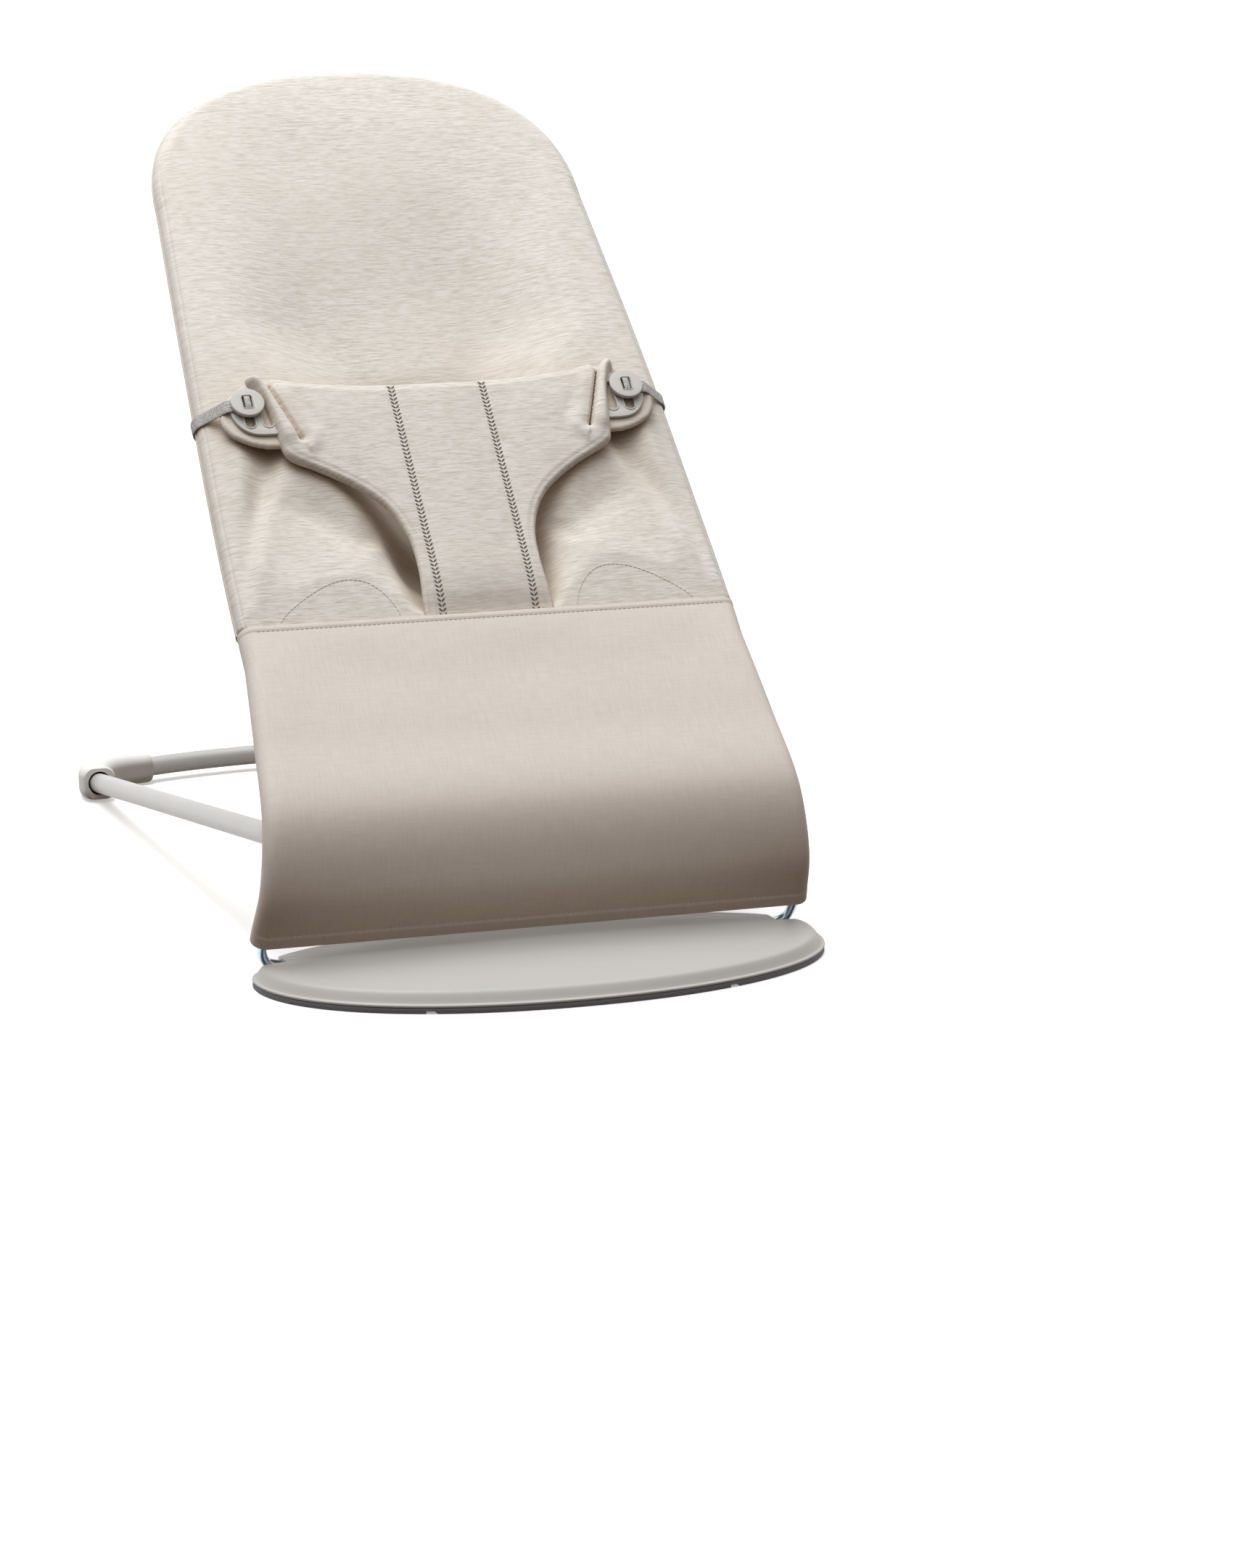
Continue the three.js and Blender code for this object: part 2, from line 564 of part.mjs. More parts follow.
function flipX(geometry) {
  const g = closed(geometry);
  g.scale(-1, 1, 1);
  const index = g.index.array;
  for (let i = 0; i < index.length; i += 3) {
    [index[i], index[i + 1]] = [index[i + 1], index[i]];
  }
  return g;
}

function extrudeOn(side, shape, back, front) {
  const g = new THREE.ExtrudeGeometry(shape, { depth: front - back, bevelEnabled: false, curveSegments: 8 });
  g.translate(0, 0, back);
  return closed(onFastener(side, g));
}

// Smooth closed outline through a few points.
const outline = (points, count) => new THREE.Shape(
  new THREE.CatmullRomCurve3(points.map(([x, y]) => vec(x, y, 0)), true, 'centripetal')
    .getSpacedPoints(count).slice(0, -1).map((p) => new THREE.Vector2(p.x, p.y)));

function restraintPanel() {
  const right = RESTRAINT_HALF.map(([x, s]) => new THREE.Vector2(x, s));
  const left = RESTRAINT_HALF.slice(1, -1).reverse().map(([x, s]) => new THREE.Vector2(-x, s));
  const panel = new THREE.ExtrudeGeometry(new THREE.Shape([...right, ...left]), {
    depth: 1, bevelEnabled: false, curveSegments: 1 });
  const p = panel.attributes.position;
  for (let i = 0; i < p.count; i += 1) {
    const q = restraintPoint(p.getX(i), p.getY(i), p.getZ(i));
    p.setXYZ(i, q.x, q.y, q.z);
  }
  const tabs = SIDES.map(([, side]) => extrudeOn(side, outline(TAB_EDGE, TAB.points), TAB.back, TAB.front));
  const [plateBottom, plateTop] = [KEYPLATE_EDGE[0][1], KEYPLATE_EDGE.at(-1)[1]];
  const pocketShape = blockShape(KEYPLATE.inner - GAP, POCKET_DEPTH, plateBottom - GAP, plateTop + GAP);
  const pocket = SIDES.map(([, side]) => extrudeOn(
    side, pocketShape, KEYPLATE.back - GAP, KEYPLATE.front + GAP));
  return combine([panel, ...tabs], pocket);
}

function slotShape(x, top, bottom, radius) {
  const path = new THREE.Path();
  path.moveTo(x + radius, bottom);
  path.lineTo(x + radius, top);
  path.absarc(x, top, radius, 0, Math.PI);
  path.lineTo(x - radius, bottom);
  path.absarc(x, bottom, radius, Math.PI, 2 * Math.PI);
  return path;
}

// The inner end sits in the restraint panel's pocket; two slots run down the seat.
function keyholePlate(side) {
  const shape = new THREE.Shape(KEYPLATE_EDGE.map(([x, y]) => new THREE.Vector2(x, y)));
  const bottom = -KEYPLATE.slotTravel - 1;
  shape.holes = [0, -KEYPLATE.slotPitch].map((x) => slotShape(x, KEYPLATE.slotTop, bottom, KEYPLATE.slotR));
  return extrudeOn(side, shape, KEYPLATE.back, KEYPLATE.front);
}

// Disc with a blind window, on a shank with a foot behind the keyhole plate.
function discButton(side) {
  const halfW = DISC.window[0] / 2;
  const halfH = DISC.window[1] / 2;
  const face = ringShape(DISC.r, 0, 28);
  face.holes.push(new THREE.Path([[-halfW, -halfH], [-halfW, halfH], [halfW, halfH], [halfW, -halfH]]
    .map(([x, y]) => new THREE.Vector2(x, y))));
  const headBack = KEYPLATE.front + STRAP.thick + 2 * GAP;
  const headFront = headBack + DISC.thick;
  return combine([
    extrudeOn(side, face, headFront - DISC.windowDepth - 0.1, headFront),
    extrudeOn(side, ringShape(DISC.r, 0, 28), headBack, headFront - DISC.windowDepth),
    extrudeOn(side, ringShape(DISC.shankR, 0, 14), KEYPLATE.back - 1, headBack + 0.5),
    extrudeOn(
      side, ringShape(DISC.shankR + DISC_FOOT.extraR, 0, 14),
      KEYPLATE.back - DISC_FOOT.back, KEYPLATE.back - DISC_FOOT.front),
  ]);
}

const blockShape = (x0, x1, y0, y1) => new THREE.Shape([
  new THREE.Vector2(x0, y0), new THREE.Vector2(x1, y0),
  new THREE.Vector2(x1, y1), new THREE.Vector2(x0, y1)]);

// Elastic from the seat edge to the disc.
function strap(side) {
  const height = KEYPLATE.front + GAP;
  const inner = onFastenerPoint(DISC.shankR + 1.2, 0, height);
  const shoulder = onFastenerPoint(15, 0, height);
  const edge = seatPoint(DISC.s - 3, halfWidth(DISC.s) - 4, 0.4);
  const band = sheet(6, 1, (u, v, w) => {
    const middle = u < 0.5 ? inner.clone().lerp(shoulder, 2 * u) : shoulder.clone().lerp(edge, 2 * u - 1);
    return middle
      .addScaledVector(fastenerUp, STRAP.width * (v - 0.5))
      .addScaledVector(fastenerOut, STRAP.thick * w);
  });
  return side > 0 ? band : flipX(band);
}

function onFastenerPoint(x, up, out) {
  const p = vec(DISC.x + x, fastenerOrigin.y, fastenerOrigin.z);
  return p.addScaledVector(fastenerUp, up).addScaledVector(fastenerOut, out);
}

// ---------------------------------------------------------------- assembly

const bouncer = new THREE.Group();
bouncer.name = 'bouncer_seat';

function add(name, geometry, material) {
  const clean = closed(geometry);
  clean.computeVertexNormals();
  const mesh = new THREE.Mesh(clean, material.clone());
  mesh.name = name;
  bouncer.add(mesh);
}

add('base_plate', basePlate(), MATERIALS.platePlastic);
add('floor_ring', floorRing(), MATERIALS.rubberRim);
RETAINER_X.forEach((x, i) => {
  add(`wire_retainer_${['left', 'centre', 'right'][i]}`, wireRetainer(x), MATERIALS.zincSteel);
});
screwPlaces().forEach((place, i) => {
  add(`retainer_screw_${i + 1}`, retainerScrew(place), MATERIALS.zincSteel);
});

add('spring_wire', springWire(), MATERIALS.springSteel);
add('front_panel_lower', frontPanel(PANEL_LOWER, 8), MATERIALS.woven);
add('front_panel_upper', frontPanel(PANEL_UPPER, 10), MATERIALS.woven);
add('leg_cross_tube', legCrossTube(), MATERIALS.tubePaint);
add('seat_tube_top', seatTop(), MATERIALS.tubePaint);
add('seat_cover', seatCover(), MATERIALS.jersey);
add('restraint_panel', restraintPanel(), MATERIALS.jersey);

for (const [label, side] of SIDES) {
  add(`adjuster_housing_${label}`, adjusterHousing(side), MATERIALS.greyPlastic);
  add(`pivot_pin_${label}`, pivotPin(side), MATERIALS.zincSteel);
  add(`lock_plunger_${label}`, lockPlunger(side), MATERIALS.zincSteel);
  add(`lock_knob_${label}`, lockKnob(side), MATERIALS.greyPlastic);
  add(`lock_spring_${label}`, lockSpring(side), MATERIALS.springSteel);
  add(`leg_hub_${label}`, legHub(side), MATERIALS.greyPlastic);
  add(`leg_side_tube_${label}`, legSideTube(side), MATERIALS.tubePaint);
  add(`corner_foot_${label}`, cornerFoot(side), MATERIALS.softFoot);
  add(`seat_hub_${label}`, seatHub(side), MATERIALS.greyPlastic);
  add(`seat_arm_${label}`, seatArm(side), MATERIALS.tubePaint);
  add(`tube_joint_sleeve_${label}`, jointSleeve(side), MATERIALS.zincSteel);
  add(`keyhole_plate_${label}`, keyholePlate(side), MATERIALS.greyPlastic);
  add(`disc_button_${label}`, discButton(side), MATERIALS.greyPlastic);
  add(`strap_${label}`, strap(side), MATERIALS.elastic);
}

export default bouncer;
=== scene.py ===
"""Looks of the bouncer seat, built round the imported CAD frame. Lengths are in mm until a mesh is made."""

import math

import bmesh
import bpy
import numpy as np
from mathutils import Matrix, Vector, geometry, kdtree


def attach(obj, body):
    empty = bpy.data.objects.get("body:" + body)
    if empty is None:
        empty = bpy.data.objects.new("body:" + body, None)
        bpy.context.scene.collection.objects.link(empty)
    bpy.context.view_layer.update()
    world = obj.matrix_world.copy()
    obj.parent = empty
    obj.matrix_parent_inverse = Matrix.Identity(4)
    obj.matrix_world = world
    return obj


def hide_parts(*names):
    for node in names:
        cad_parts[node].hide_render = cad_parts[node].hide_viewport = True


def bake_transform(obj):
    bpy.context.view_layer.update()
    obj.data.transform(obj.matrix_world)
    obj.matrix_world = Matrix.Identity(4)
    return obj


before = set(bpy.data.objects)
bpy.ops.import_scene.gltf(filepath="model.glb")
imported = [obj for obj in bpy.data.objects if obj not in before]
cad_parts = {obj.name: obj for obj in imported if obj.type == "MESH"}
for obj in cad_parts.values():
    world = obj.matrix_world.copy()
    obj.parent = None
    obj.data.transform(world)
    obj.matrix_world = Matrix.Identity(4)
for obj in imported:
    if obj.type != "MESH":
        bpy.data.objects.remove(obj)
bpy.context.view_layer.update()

MM = 0.001
SIDES = (("left", -1), ("right", 1))

# ---------------------------------------------------------------- dimensions shared with the CAD source

EDGE_PROFILE = [
    (-275, 24), (-291.5, 62), (-284, 110), (-242, 157), (-190, 208),
    (-114, 276), (-11, 371.5), (96, 466), (201, 560),
]
CAP_START, CAP_EXPONENT = 625, 2.35
TUBE_R, TUBE_INSET, TUBE_DEPTH = 7.5, 10, 11.3
JOINT_S = 590
PIVOT_Y, PIVOT_Z = -263, 95.4
RECLINE_Y, RECLINE_Z = -258, 9
WIRE_R = 3.25
WIRE_RISER = [
    (160, -258, 9), (170, -258, 9), (180, -258.5, 12), (184, -263, 21), (182.5, -275, 36), (176, -280, 48),
    (165, -279, 54), (158.5, -277.4, 58.5), (157, -277, 66), (157, -277, 74), (157, -277, 84),
]
SEAT_HUB_X = 146.5
ARM_FOOT = [(SEAT_HUB_X, PIVOT_Y, PIVOT_Z + 17.5), (SEAT_HUB_X, PIVOT_Y + 0.6, PIVOT_Z + 22)]
ARM_BEND = [(149.5, -255, 128), (158.5, -242.5, 141)]
ARM_ALONG = [168, 200, 240, 290, 350, 430, 510, JOINT_S]
LEG_X, LEG_HUB_R = 170, 11
FOOT_HALF, FOOT_CORNER_R, FOOT_BORE_R, FOOT_Z = 12.5, 8, 9, 12.2
FOOT_FRONT_Y, TUBE_END_Y = 311, 322
CORNER_BEND = [(LEG_X - 3, 342), (LEG_X - 13, 356), (LEG_X - 29, 364.5), (120, 370)]
CROSS_HALF = [(129, 367), (90, 378), (45, 385.3)]
CROSS_BOW_Y = 387.5
PLATE_Y, PLATE_HALF, PLATE_FRONT, PLATE_REAR, PLATE_POWER = -283, 194.5, 112, 78, 2.1
RESTRAINT_BOTTOM_S, RESTRAINT_TOP_S = 249, 442
DISC_X, DISC_S, DISC_R = 135.5, 422, 11.8
KEYPLATE_BACK, KEYPLATE_FRONT = 5.8, 8.2
SLOT_PITCH, SLOT_R, SLOT_TOP, SLOT_BOTTOM = 12.5, 3.3, 3, -15.5
STRAP_W, STRAP_T = 10, 1.2

# ---------------------------------------------------------------- curves


def catmull(points, per_segment=24):
    """Centripetal Catmull-Rom curve through the points, as the CAD source draws its own."""
    p = np.array(points, float)
    p = np.vstack([2 * p[0] - p[1], p, 2 * p[-1] - p[-2]])
    out = []
    for i in range(1, len(p) - 2):
        p0, p1, p2, p3 = p[i - 1], p[i], p[i + 1], p[i + 2]
        d0, d1, d2 = (math.sqrt(np.linalg.norm(b - a)) for a, b in ((p0, p1), (p1, p2), (p2, p3)))
        t1 = ((p1 - p0) / d0 - (p2 - p0) / (d0 + d1) + (p2 - p1) / d1) * d1
        t2 = ((p2 - p1) / d1 - (p3 - p1) / (d1 + d2) + (p3 - p2) / d2) * d1
        for t in np.arange(per_segment) / per_segment:
            out.append(p1 + t1 * t + (3 * (p2 - p1) - 2 * t1 - t2) * t**2 + (2 * (p1 - p2) + t1 + t2) * t**3)
    return np.array([*out, p[-2]])


def lengths(points):
    return np.concatenate([[0], np.cumsum(np.linalg.norm(np.diff(points, axis=0), axis=1))])


def spaced(points, step):
    """The same line with points a fixed step apart."""
    at = lengths(points)
    want = np.linspace(0, at[-1], max(2, int(round(at[-1] / step)) + 1))
    return np.stack([np.interp(want, at, points[:, k]) for k in range(points.shape[1])], axis=1)


def smooth(a, b, t):
    """Rises smoothly from 0 at a to 1 at b."""
    x = np.clip((t - a) / (b - a), 0, 1)
    return x * x * (3 - 2 * x)


def band(a, b, c, d, t):
    """Rises from a to b and falls again from c to d."""
    return smooth(a, b, t) * (1 - smooth(c, d, t))


def hump(distance, width):
    return np.exp(-((distance / width) ** 2))


def unit(vectors):
    return vectors / np.maximum(1e-9, np.linalg.norm(vectors, axis=-1))[..., None]


def to_segments(points, a, b):
    """Distance of each point from each segment a-b, and how far along it the nearest place is."""
    d = b - a
    q = points[:, None, :] - a[None]
    t = np.clip((q * d).sum(2) / (d * d).sum(1), 0, 1)
    return np.linalg.norm(q - t[..., None] * d, axis=2), t


_edge = catmull(EDGE_PROFILE, 120)
_edge_s = lengths(_edge)
EDGE_LENGTH = _edge_s[-1]
_tangent = unit(np.gradient(_edge, _edge_s, axis=0))


def half_width(s):
    s = np.asarray(s, float)
    return 173.6 + 18.7 * np.maximum(0, 1 - s / 215) - 16.8 * np.maximum(0, (s - 230) / 395) ** 1.5


def cap_end(fraction, inset=0.0):
    height = EDGE_LENGTH - CAP_START - inset
    return CAP_START + height * (1 - np.minimum(1, np.abs(fraction)) ** CAP_EXPONENT) ** (1 / CAP_EXPONENT)


def seat_point(s, x, off=0.0):
    """Points on the seat surface at distance s along its edge profile, raised above it by off."""
    s, x, off = np.broadcast_arrays(np.asarray(s, float), np.asarray(x, float), np.asarray(off, float))
    y, z = (np.interp(s, _edge_s, _edge[:, k]) for k in (0, 1))
    dy, dz = (np.interp(s, _edge_s, _tangent[:, k]) for k in (0, 1))
    return np.stack([x, y - dz * off, z + dy * off], axis=-1)


def tube_point(s, side):
    return tuple(seat_point(s, side * (half_width(s) - TUBE_INSET), -TUBE_DEPTH))


# ---------------------------------------------------------------- mesh helpers


# corners closer than this, in metres, become one
WELD, SHEET_WELD, FINE_WELD = 1e-5, 1e-6, 1e-7


def add_mesh(name, points, faces, flat=None, material=None):
    mesh = bpy.data.meshes.new(name)
    mesh.from_pydata((np.asarray(points, float) * MM).tolist(), [], [tuple(int(i) for i in f) for f in faces])
    mesh.validate()
    obj = bpy.data.objects.new(name, mesh)
    bpy.context.scene.collection.objects.link(obj)
    if flat is not None:
        layer = mesh.attributes.new("flat", "FLOAT_VECTOR", "POINT")
        layer.data.foreach_set("vector", (np.asarray(flat, float) * MM).astype(np.float32).ravel())
    if material is not None:
        mesh.materials.append(material)
    shade(obj)
    return obj


def add_solid(name, points, faces, material, flat=None, weld=FINE_WELD, sharp=None):
    """Closed mesh with its normals outwards, and a sharp edge where it bends by more than an angle."""
    obj = add_mesh(name, points, faces, flat, material)
    fix_normals(obj, weld)
    shade(obj, sharp)
    return obj


def shade(obj, angle=None):
    mesh = obj.data
    mesh.polygons.foreach_set("use_smooth", [True] * len(mesh.polygons))
    if angle is not None:
        mesh.set_sharp_from_angle(angle=math.radians(angle))
    mesh.update()


def fix_normals(obj, weld=None):
    """Turns the faces outwards. It first welds close corners, or without a weld drops loose ones."""
    bm = bmesh.new()
    bm.from_mesh(obj.data)
    if weld:
        bmesh.ops.remove_doubles(bm, verts=bm.verts, dist=weld)
    else:
        bmesh.ops.delete(bm, geom=[v for v in bm.verts if not v.link_faces], context="VERTS")
    bmesh.ops.recalc_face_normals(bm, faces=bm.faces)
    bm.to_mesh(obj.data)
    bm.free()
    obj.data.update()


def evaluated(obj):
    return obj.evaluated_get(bpy.context.evaluated_depsgraph_get())


def apply_modifiers(obj):
    bpy.context.view_layer.update()
    done = bpy.data.meshes.new_from_object(evaluated(obj))
    old = obj.data
    obj.modifiers.clear()
    obj.data = done
    bpy.data.meshes.remove(old)


def join(name, objects):
    bpy.ops.object.select_all(action="DESELECT")
    for o in objects:
        o.select_set(True)
    bpy.context.view_layer.objects.active = objects[0]
    bpy.ops.object.join()
    objects[0].name = name
    objects[0].data.name = name
    return objects[0]


def combine(obj, others, operation="DIFFERENCE"):
    """Boolean of an object with others, which are used up."""
    for other in others:
        m = obj.modifiers.new("combine", "BOOLEAN")
        m.operation, m.solver, m.object = operation, "EXACT", other
    apply_modifiers(obj)
    for other in others:
        bpy.data.objects.remove(other)


def grid_faces(rows, columns, wrap=False, start=0):
    """Quads of a grid of points laid out row by row."""
    last = columns if wrap else columns - 1
    r, c = np.meshgrid(np.arange(rows - 1), np.arange(last), indexing="ij")
    a = (r * columns + c).ravel()
    b = (r * columns + (c + 1) % columns).ravel()
    return np.stack([a, b, b + columns, a + columns], axis=1) + start


def capped_faces(rows, columns, start=0):
    """Quads of a tube made of rings, and a flat cap at each end."""
    last = start + (rows - 1) * columns
    caps = [[start + k for k in range(columns)][::-1], [last + k for k in range(columns)]]
    return grid_faces(rows, columns, wrap=True, start=start).tolist() + caps


def closed_faces(rows, columns):
    """Quads of a tube made of rings, whose last ring meets its first."""
    return grid_faces(rows + 1, columns, wrap=True) % (rows * columns)


def shell_faces(rows, columns):
    """Quads of a grid of points, of a second grid behind it, and of the border between the two."""
    n = rows * columns
    faces = grid_faces(rows, columns).tolist()
    faces += [[q + n for q in face[::-1]] for face in faces]
    border = (
        list(range(columns)) + [r * columns + columns - 1 for r in range(1, rows)]
        + [(rows - 1) * columns + c for c in range(columns - 2, -1, -1)]
        + [r * columns for r in range(rows - 2, 0, -1)]
    )
    return faces + [[b, a, a + n, b + n] for a, b in zip(border, border[1:] + border[:1])]


def grid_normals(grid):
    return unit(np.cross(np.gradient(grid, axis=1), np.gradient(grid, axis=0)))


def frames_along(path):
    """Tangent, side and up vectors along a path, turning as little as they can."""
    tangents = unit(np.gradient(path, axis=0))
    up = np.array([0.0, 0.0, 1.0]) if abs(tangents[0][2]) < 0.9 else np.array([0.0, 1.0, 0.0])
    sides, ups = [], []
    for t in tangents:
        side = unit(np.cross(t, up))
        up = np.cross(side, t)
        sides.append(side)
        ups.append(up)
    return tangents, np.array(sides), np.array(ups)


# how far a rounded end is drawn in, as a share of the section's half width
END_DEPTH = 0.25


def rounded_end(centre, ring, inwards):
    """Three rings, from the outside in, that round off one end of a swept solid."""
    spokes = ring - centre
    return [centre + spokes * 0.7, centre + inwards * 0.3 + spokes * 0.95, ring + inwards]


def swept(name, path, section, material=None, rounded=True, sharp=None):
    """Solid of a closed 2D section swept along a path, with rounded or flat ends."""
    tangents, sides, ups = frames_along(path)
    rings = [p + section[:, :1] * a + section[:, 1:] * b for p, a, b in zip(path, sides, ups)]
    if rounded:
        depth = np.abs(section).max() * END_DEPTH
        start = rounded_end(path[0], rings[0], tangents[0] * depth)
        end = rounded_end(path[-1], rings[-1], -tangents[-1] * depth)
        rings = [*start, *rings[1:-1], *end[::-1]]
    faces = capped_faces(len(rings), len(section))
    return add_solid(name, np.concatenate(rings), faces, material, weld=WELD, sharp=sharp)


def circle(radius, count=24):
    a = np.arange(count) * 2 * math.pi / count
    return np.stack([radius * np.cos(a), radius * np.sin(a)], axis=1)


def tube(name, path, radius, material, count=28):
    return swept(name, path, circle(radius, count), material, sharp=40)


# ---------------------------------------------------------------- materials


# share of the open view at which the painted shade of tucked-in fabric is full, and at which it is gone
PAINTED_SHADE_FULL, PAINTED_SHADE_GONE = 0.4, 0.93


class Nodes:
    """Short names for the node tree of one material."""

    def __init__(self, name):
        self.material = bpy.data.materials.new(name)
        self.material.use_nodes = True
        self.tree = self.material.node_tree
        self.shader = self.tree.nodes["Principled BSDF"]

    def node(self, kind, inputs=None, **settings):
        n = self.tree.nodes.new(kind)
        for key, value in settings.items():
            setattr(n, key, value)
        for key, value in (inputs or {}).items():
            self.feed(n.inputs[key], value)
        return n

    def feed(self, socket, value):
        if isinstance(value, bpy.types.NodeSocket):
            self.tree.links.new(value, socket)
        else:
            socket.default_value = value

    def set(self, **values):
        for key, value in values.items():
            self.feed(self.shader.inputs[key.replace("_", " ")], value)

    def place(self, attribute=None):
        """Where on the surface a point is: an attribute of the mesh, or the point's place in the object."""
        if attribute:
            return self.node("ShaderNodeAttribute", attribute_name=attribute).outputs["Vector"]
        return self.node("ShaderNodeTexCoord").outputs["Object"]

    def scaled(self, vector, scale):
        return self.node("ShaderNodeMapping", {"Vector": vector, "Scale": scale}).outputs["Vector"]

    def noise(self, vector, scale, detail=4.0, roughness=0.55, distortion=0.0):
        n = self.node(
            "ShaderNodeTexNoise",
            {"Vector": vector, "Scale": scale, "Detail": detail, "Roughness": roughness,
             "Distortion": distortion},
        )
        return n.outputs["Fac"]

    def spread(self, value, low, high, to_low=0.0, to_high=1.0):
        n = self.node(
            "ShaderNodeMapRange",
            {"Value": value, "From Min": low, "From Max": high, "To Min": to_low, "To Max": to_high},
        )
        return n.outputs["Result"]

    def math(self, operation, a, b=0.0):
        n = self.node("ShaderNodeMath", operation=operation)
        self.feed(n.inputs[0], a)
        self.feed(n.inputs[1], b)
        return n.outputs[0]

    def wave(self, vector, axis, pitch):
        along = self.node("ShaderNodeSeparateXYZ", {"Vector": vector}).outputs[axis]
        return self.math("SINE", self.math("MULTIPLY", along, 2 * math.pi / pitch))

    def mix(self, factor, a, b, blend="MIX"):
        n = self.node("ShaderNodeMix", data_type="RGBA", blend_type=blend)
        self.feed(n.inputs[0], factor)
        self.feed(n.inputs[6], a)
        self.feed(n.inputs[7], b)
        return n.outputs[2]

    def painted_shade(self, base, tint, reach=0.08):
        """Painted shade: colour multiplied by a tint where the surface is tucked in behind or below
        something.
        """
        open_share = self.node("ShaderNodeAmbientOcclusion", {"Distance": reach}, samples=4).outputs["AO"]
        return self.mix(self.spread(open_share, PAINTED_SHADE_FULL, PAINTED_SHADE_GONE, 1.0, 0.0), base, tint, "MULTIPLY")

    def bump(self, height, strength, distance):
        n = self.node("ShaderNodeBump", {"Height": height, "Strength": strength, "Distance": distance})
        return n.outputs["Normal"]


def rgb(hexadecimal, gain=1.0):
    """Linear colour from an sRGB hex value."""
    parts = [int(hexadecimal[i : i + 2], 16) / 255 for i in (0, 2, 4)]
    linear = [c / 12.92 if c <= 0.04045 else ((c + 0.055) / 1.055) ** 2.4 for c in parts]
    return (*[min(1.0, c * gain) for c in linear], 1.0)


# painted shade: padded jersey is tinted warmer and darker in its hollows, and the woven panel darker towards
# the base plate
SHADE_TINT = (0.90, 0.80, 0.69, 1.0)
PAINTED_LOW_SHADE = (0.64, 0.56, 0.49, 1.0)


def jersey(name, light="D4D1CC", dark="B4ADA3"):
    """Melange jersey: short slub streaks across the seat over fine knit ribs."""
    m = Nodes(name)
    at = m.place("flat")
    streaks = m.noise(m.scaled(at, (95, 1050, 95)), 1.0, 5, 0.66, 0.3)
    long_streaks = m.noise(m.scaled(at, (34, 430, 34)), 1.0, 4, 0.62, 0.2)
    cloud = m.noise(at, 6, 3)
    base = m.mix(m.spread(streaks, 0.45, 0.66), rgb(light), rgb(dark))
    base = m.mix(m.spread(long_streaks, 0.48, 0.72, 0.0, 0.55), base, rgb(dark, 0.9))
    base = m.mix(m.spread(cloud, 0.38, 0.68, 0.0, 0.4), base, rgb("CCC2BA"))
    knit = m.noise(m.scaled(at, (900, 2600, 900)), 1.0, 2)
    height = m.math("ADD", m.math("MULTIPLY", knit, 0.5), m.math("MULTIPLY", streaks, 0.8))
    m.set(
        # painted shade: the jersey turns warmer and darker where it is tucked in
        Base_Color=m.painted_shade(base, SHADE_TINT), Roughness=m.spread(streaks, 0.3, 0.7, 0.86, 0.96),
        Sheen_Weight=0.25, Sheen_Roughness=0.45, Specular_IOR_Level=0.2, Normal=m.bump(height, 0.22, 0.0005),
    )
    return m.material


def woven(name, light, dark):
    """Smooth plain weave: fine warp and weft threads with a few uneven yarns."""
    m = Nodes(name)
    at = m.place("flat")
    weave = m.math("MULTIPLY", *(m.math("MULTIPLY", m.wave(at, axis, 0.0007), 0.5) for axis in ("X", "Y")))
    yarn = m.noise(m.scaled(at, (60, 900, 60)), 1.0, 4)
    warp = m.noise(m.scaled(at, (900, 60, 60)), 1.0, 4)
    uneven = m.math("ADD", m.math("MULTIPLY", yarn, 0.5), m.math("MULTIPLY", warp, 0.5))
    base = m.mix(m.spread(uneven, 0.38, 0.64), rgb(light), rgb(dark))
    height = m.math("ADD", weave, m.math("MULTIPLY", uneven, 0.35))
    m.set(
        # painted shade: the woven panel turns darker and warmer towards the base plate and floor
        Base_Color=m.painted_shade(base, PAINTED_LOW_SHADE, 0.2), Roughness=m.spread(uneven, 0.3, 0.7, 0.78, 0.9),
        Sheen_Weight=0.15, Sheen_Roughness=0.4, Specular_IOR_Level=0.25, Normal=m.bump(height, 0.25, 0.0004),
    )
    return m.material


def moulded(name, colour, roughness=0.5, grain=0.12, fine=2600):
    """Moulded plastic or rubber: fine spark-eroded grain, faint flow marks and slightly uneven gloss."""
    m = Nodes(name)
    at = m.place()
    flow = m.noise(m.scaled(at, (6, 18, 18)), 1.0, 3)
    m.set(
        Base_Color=m.mix(m.spread(flow, 0.35, 0.7), rgb(colour), rgb(colour, 0.95)),
        Roughness=m.spread(flow, 0.3, 0.7, roughness - 0.04, roughness + 0.05),
        Specular_IOR_Level=0.4, Normal=m.bump(m.noise(at, fine, 2), grain, 0.0003),
    )
    return m.material


def metal(name, colour, roughness, metallic=1.0):
    """Drawn or painted metal: marks along the length and small differences in gloss."""
    m = Nodes(name)
    at = m.place()
    marks = m.noise(m.scaled(at, (30, 900, 900)), 1.0, 3)
    patches = m.noise(at, 25, 3)
    m.set(
        Base_Color=m.mix(m.spread(patches, 0.3, 0.7), rgb(colour), rgb(colour, 0.94)), Metallic=metallic,
        Roughness=m.spread(marks, 0.3, 0.7, roughness - 0.05, roughness + 0.07),
        Normal=m.bump(marks, 0.06, 0.0002),
    )
    return m.material


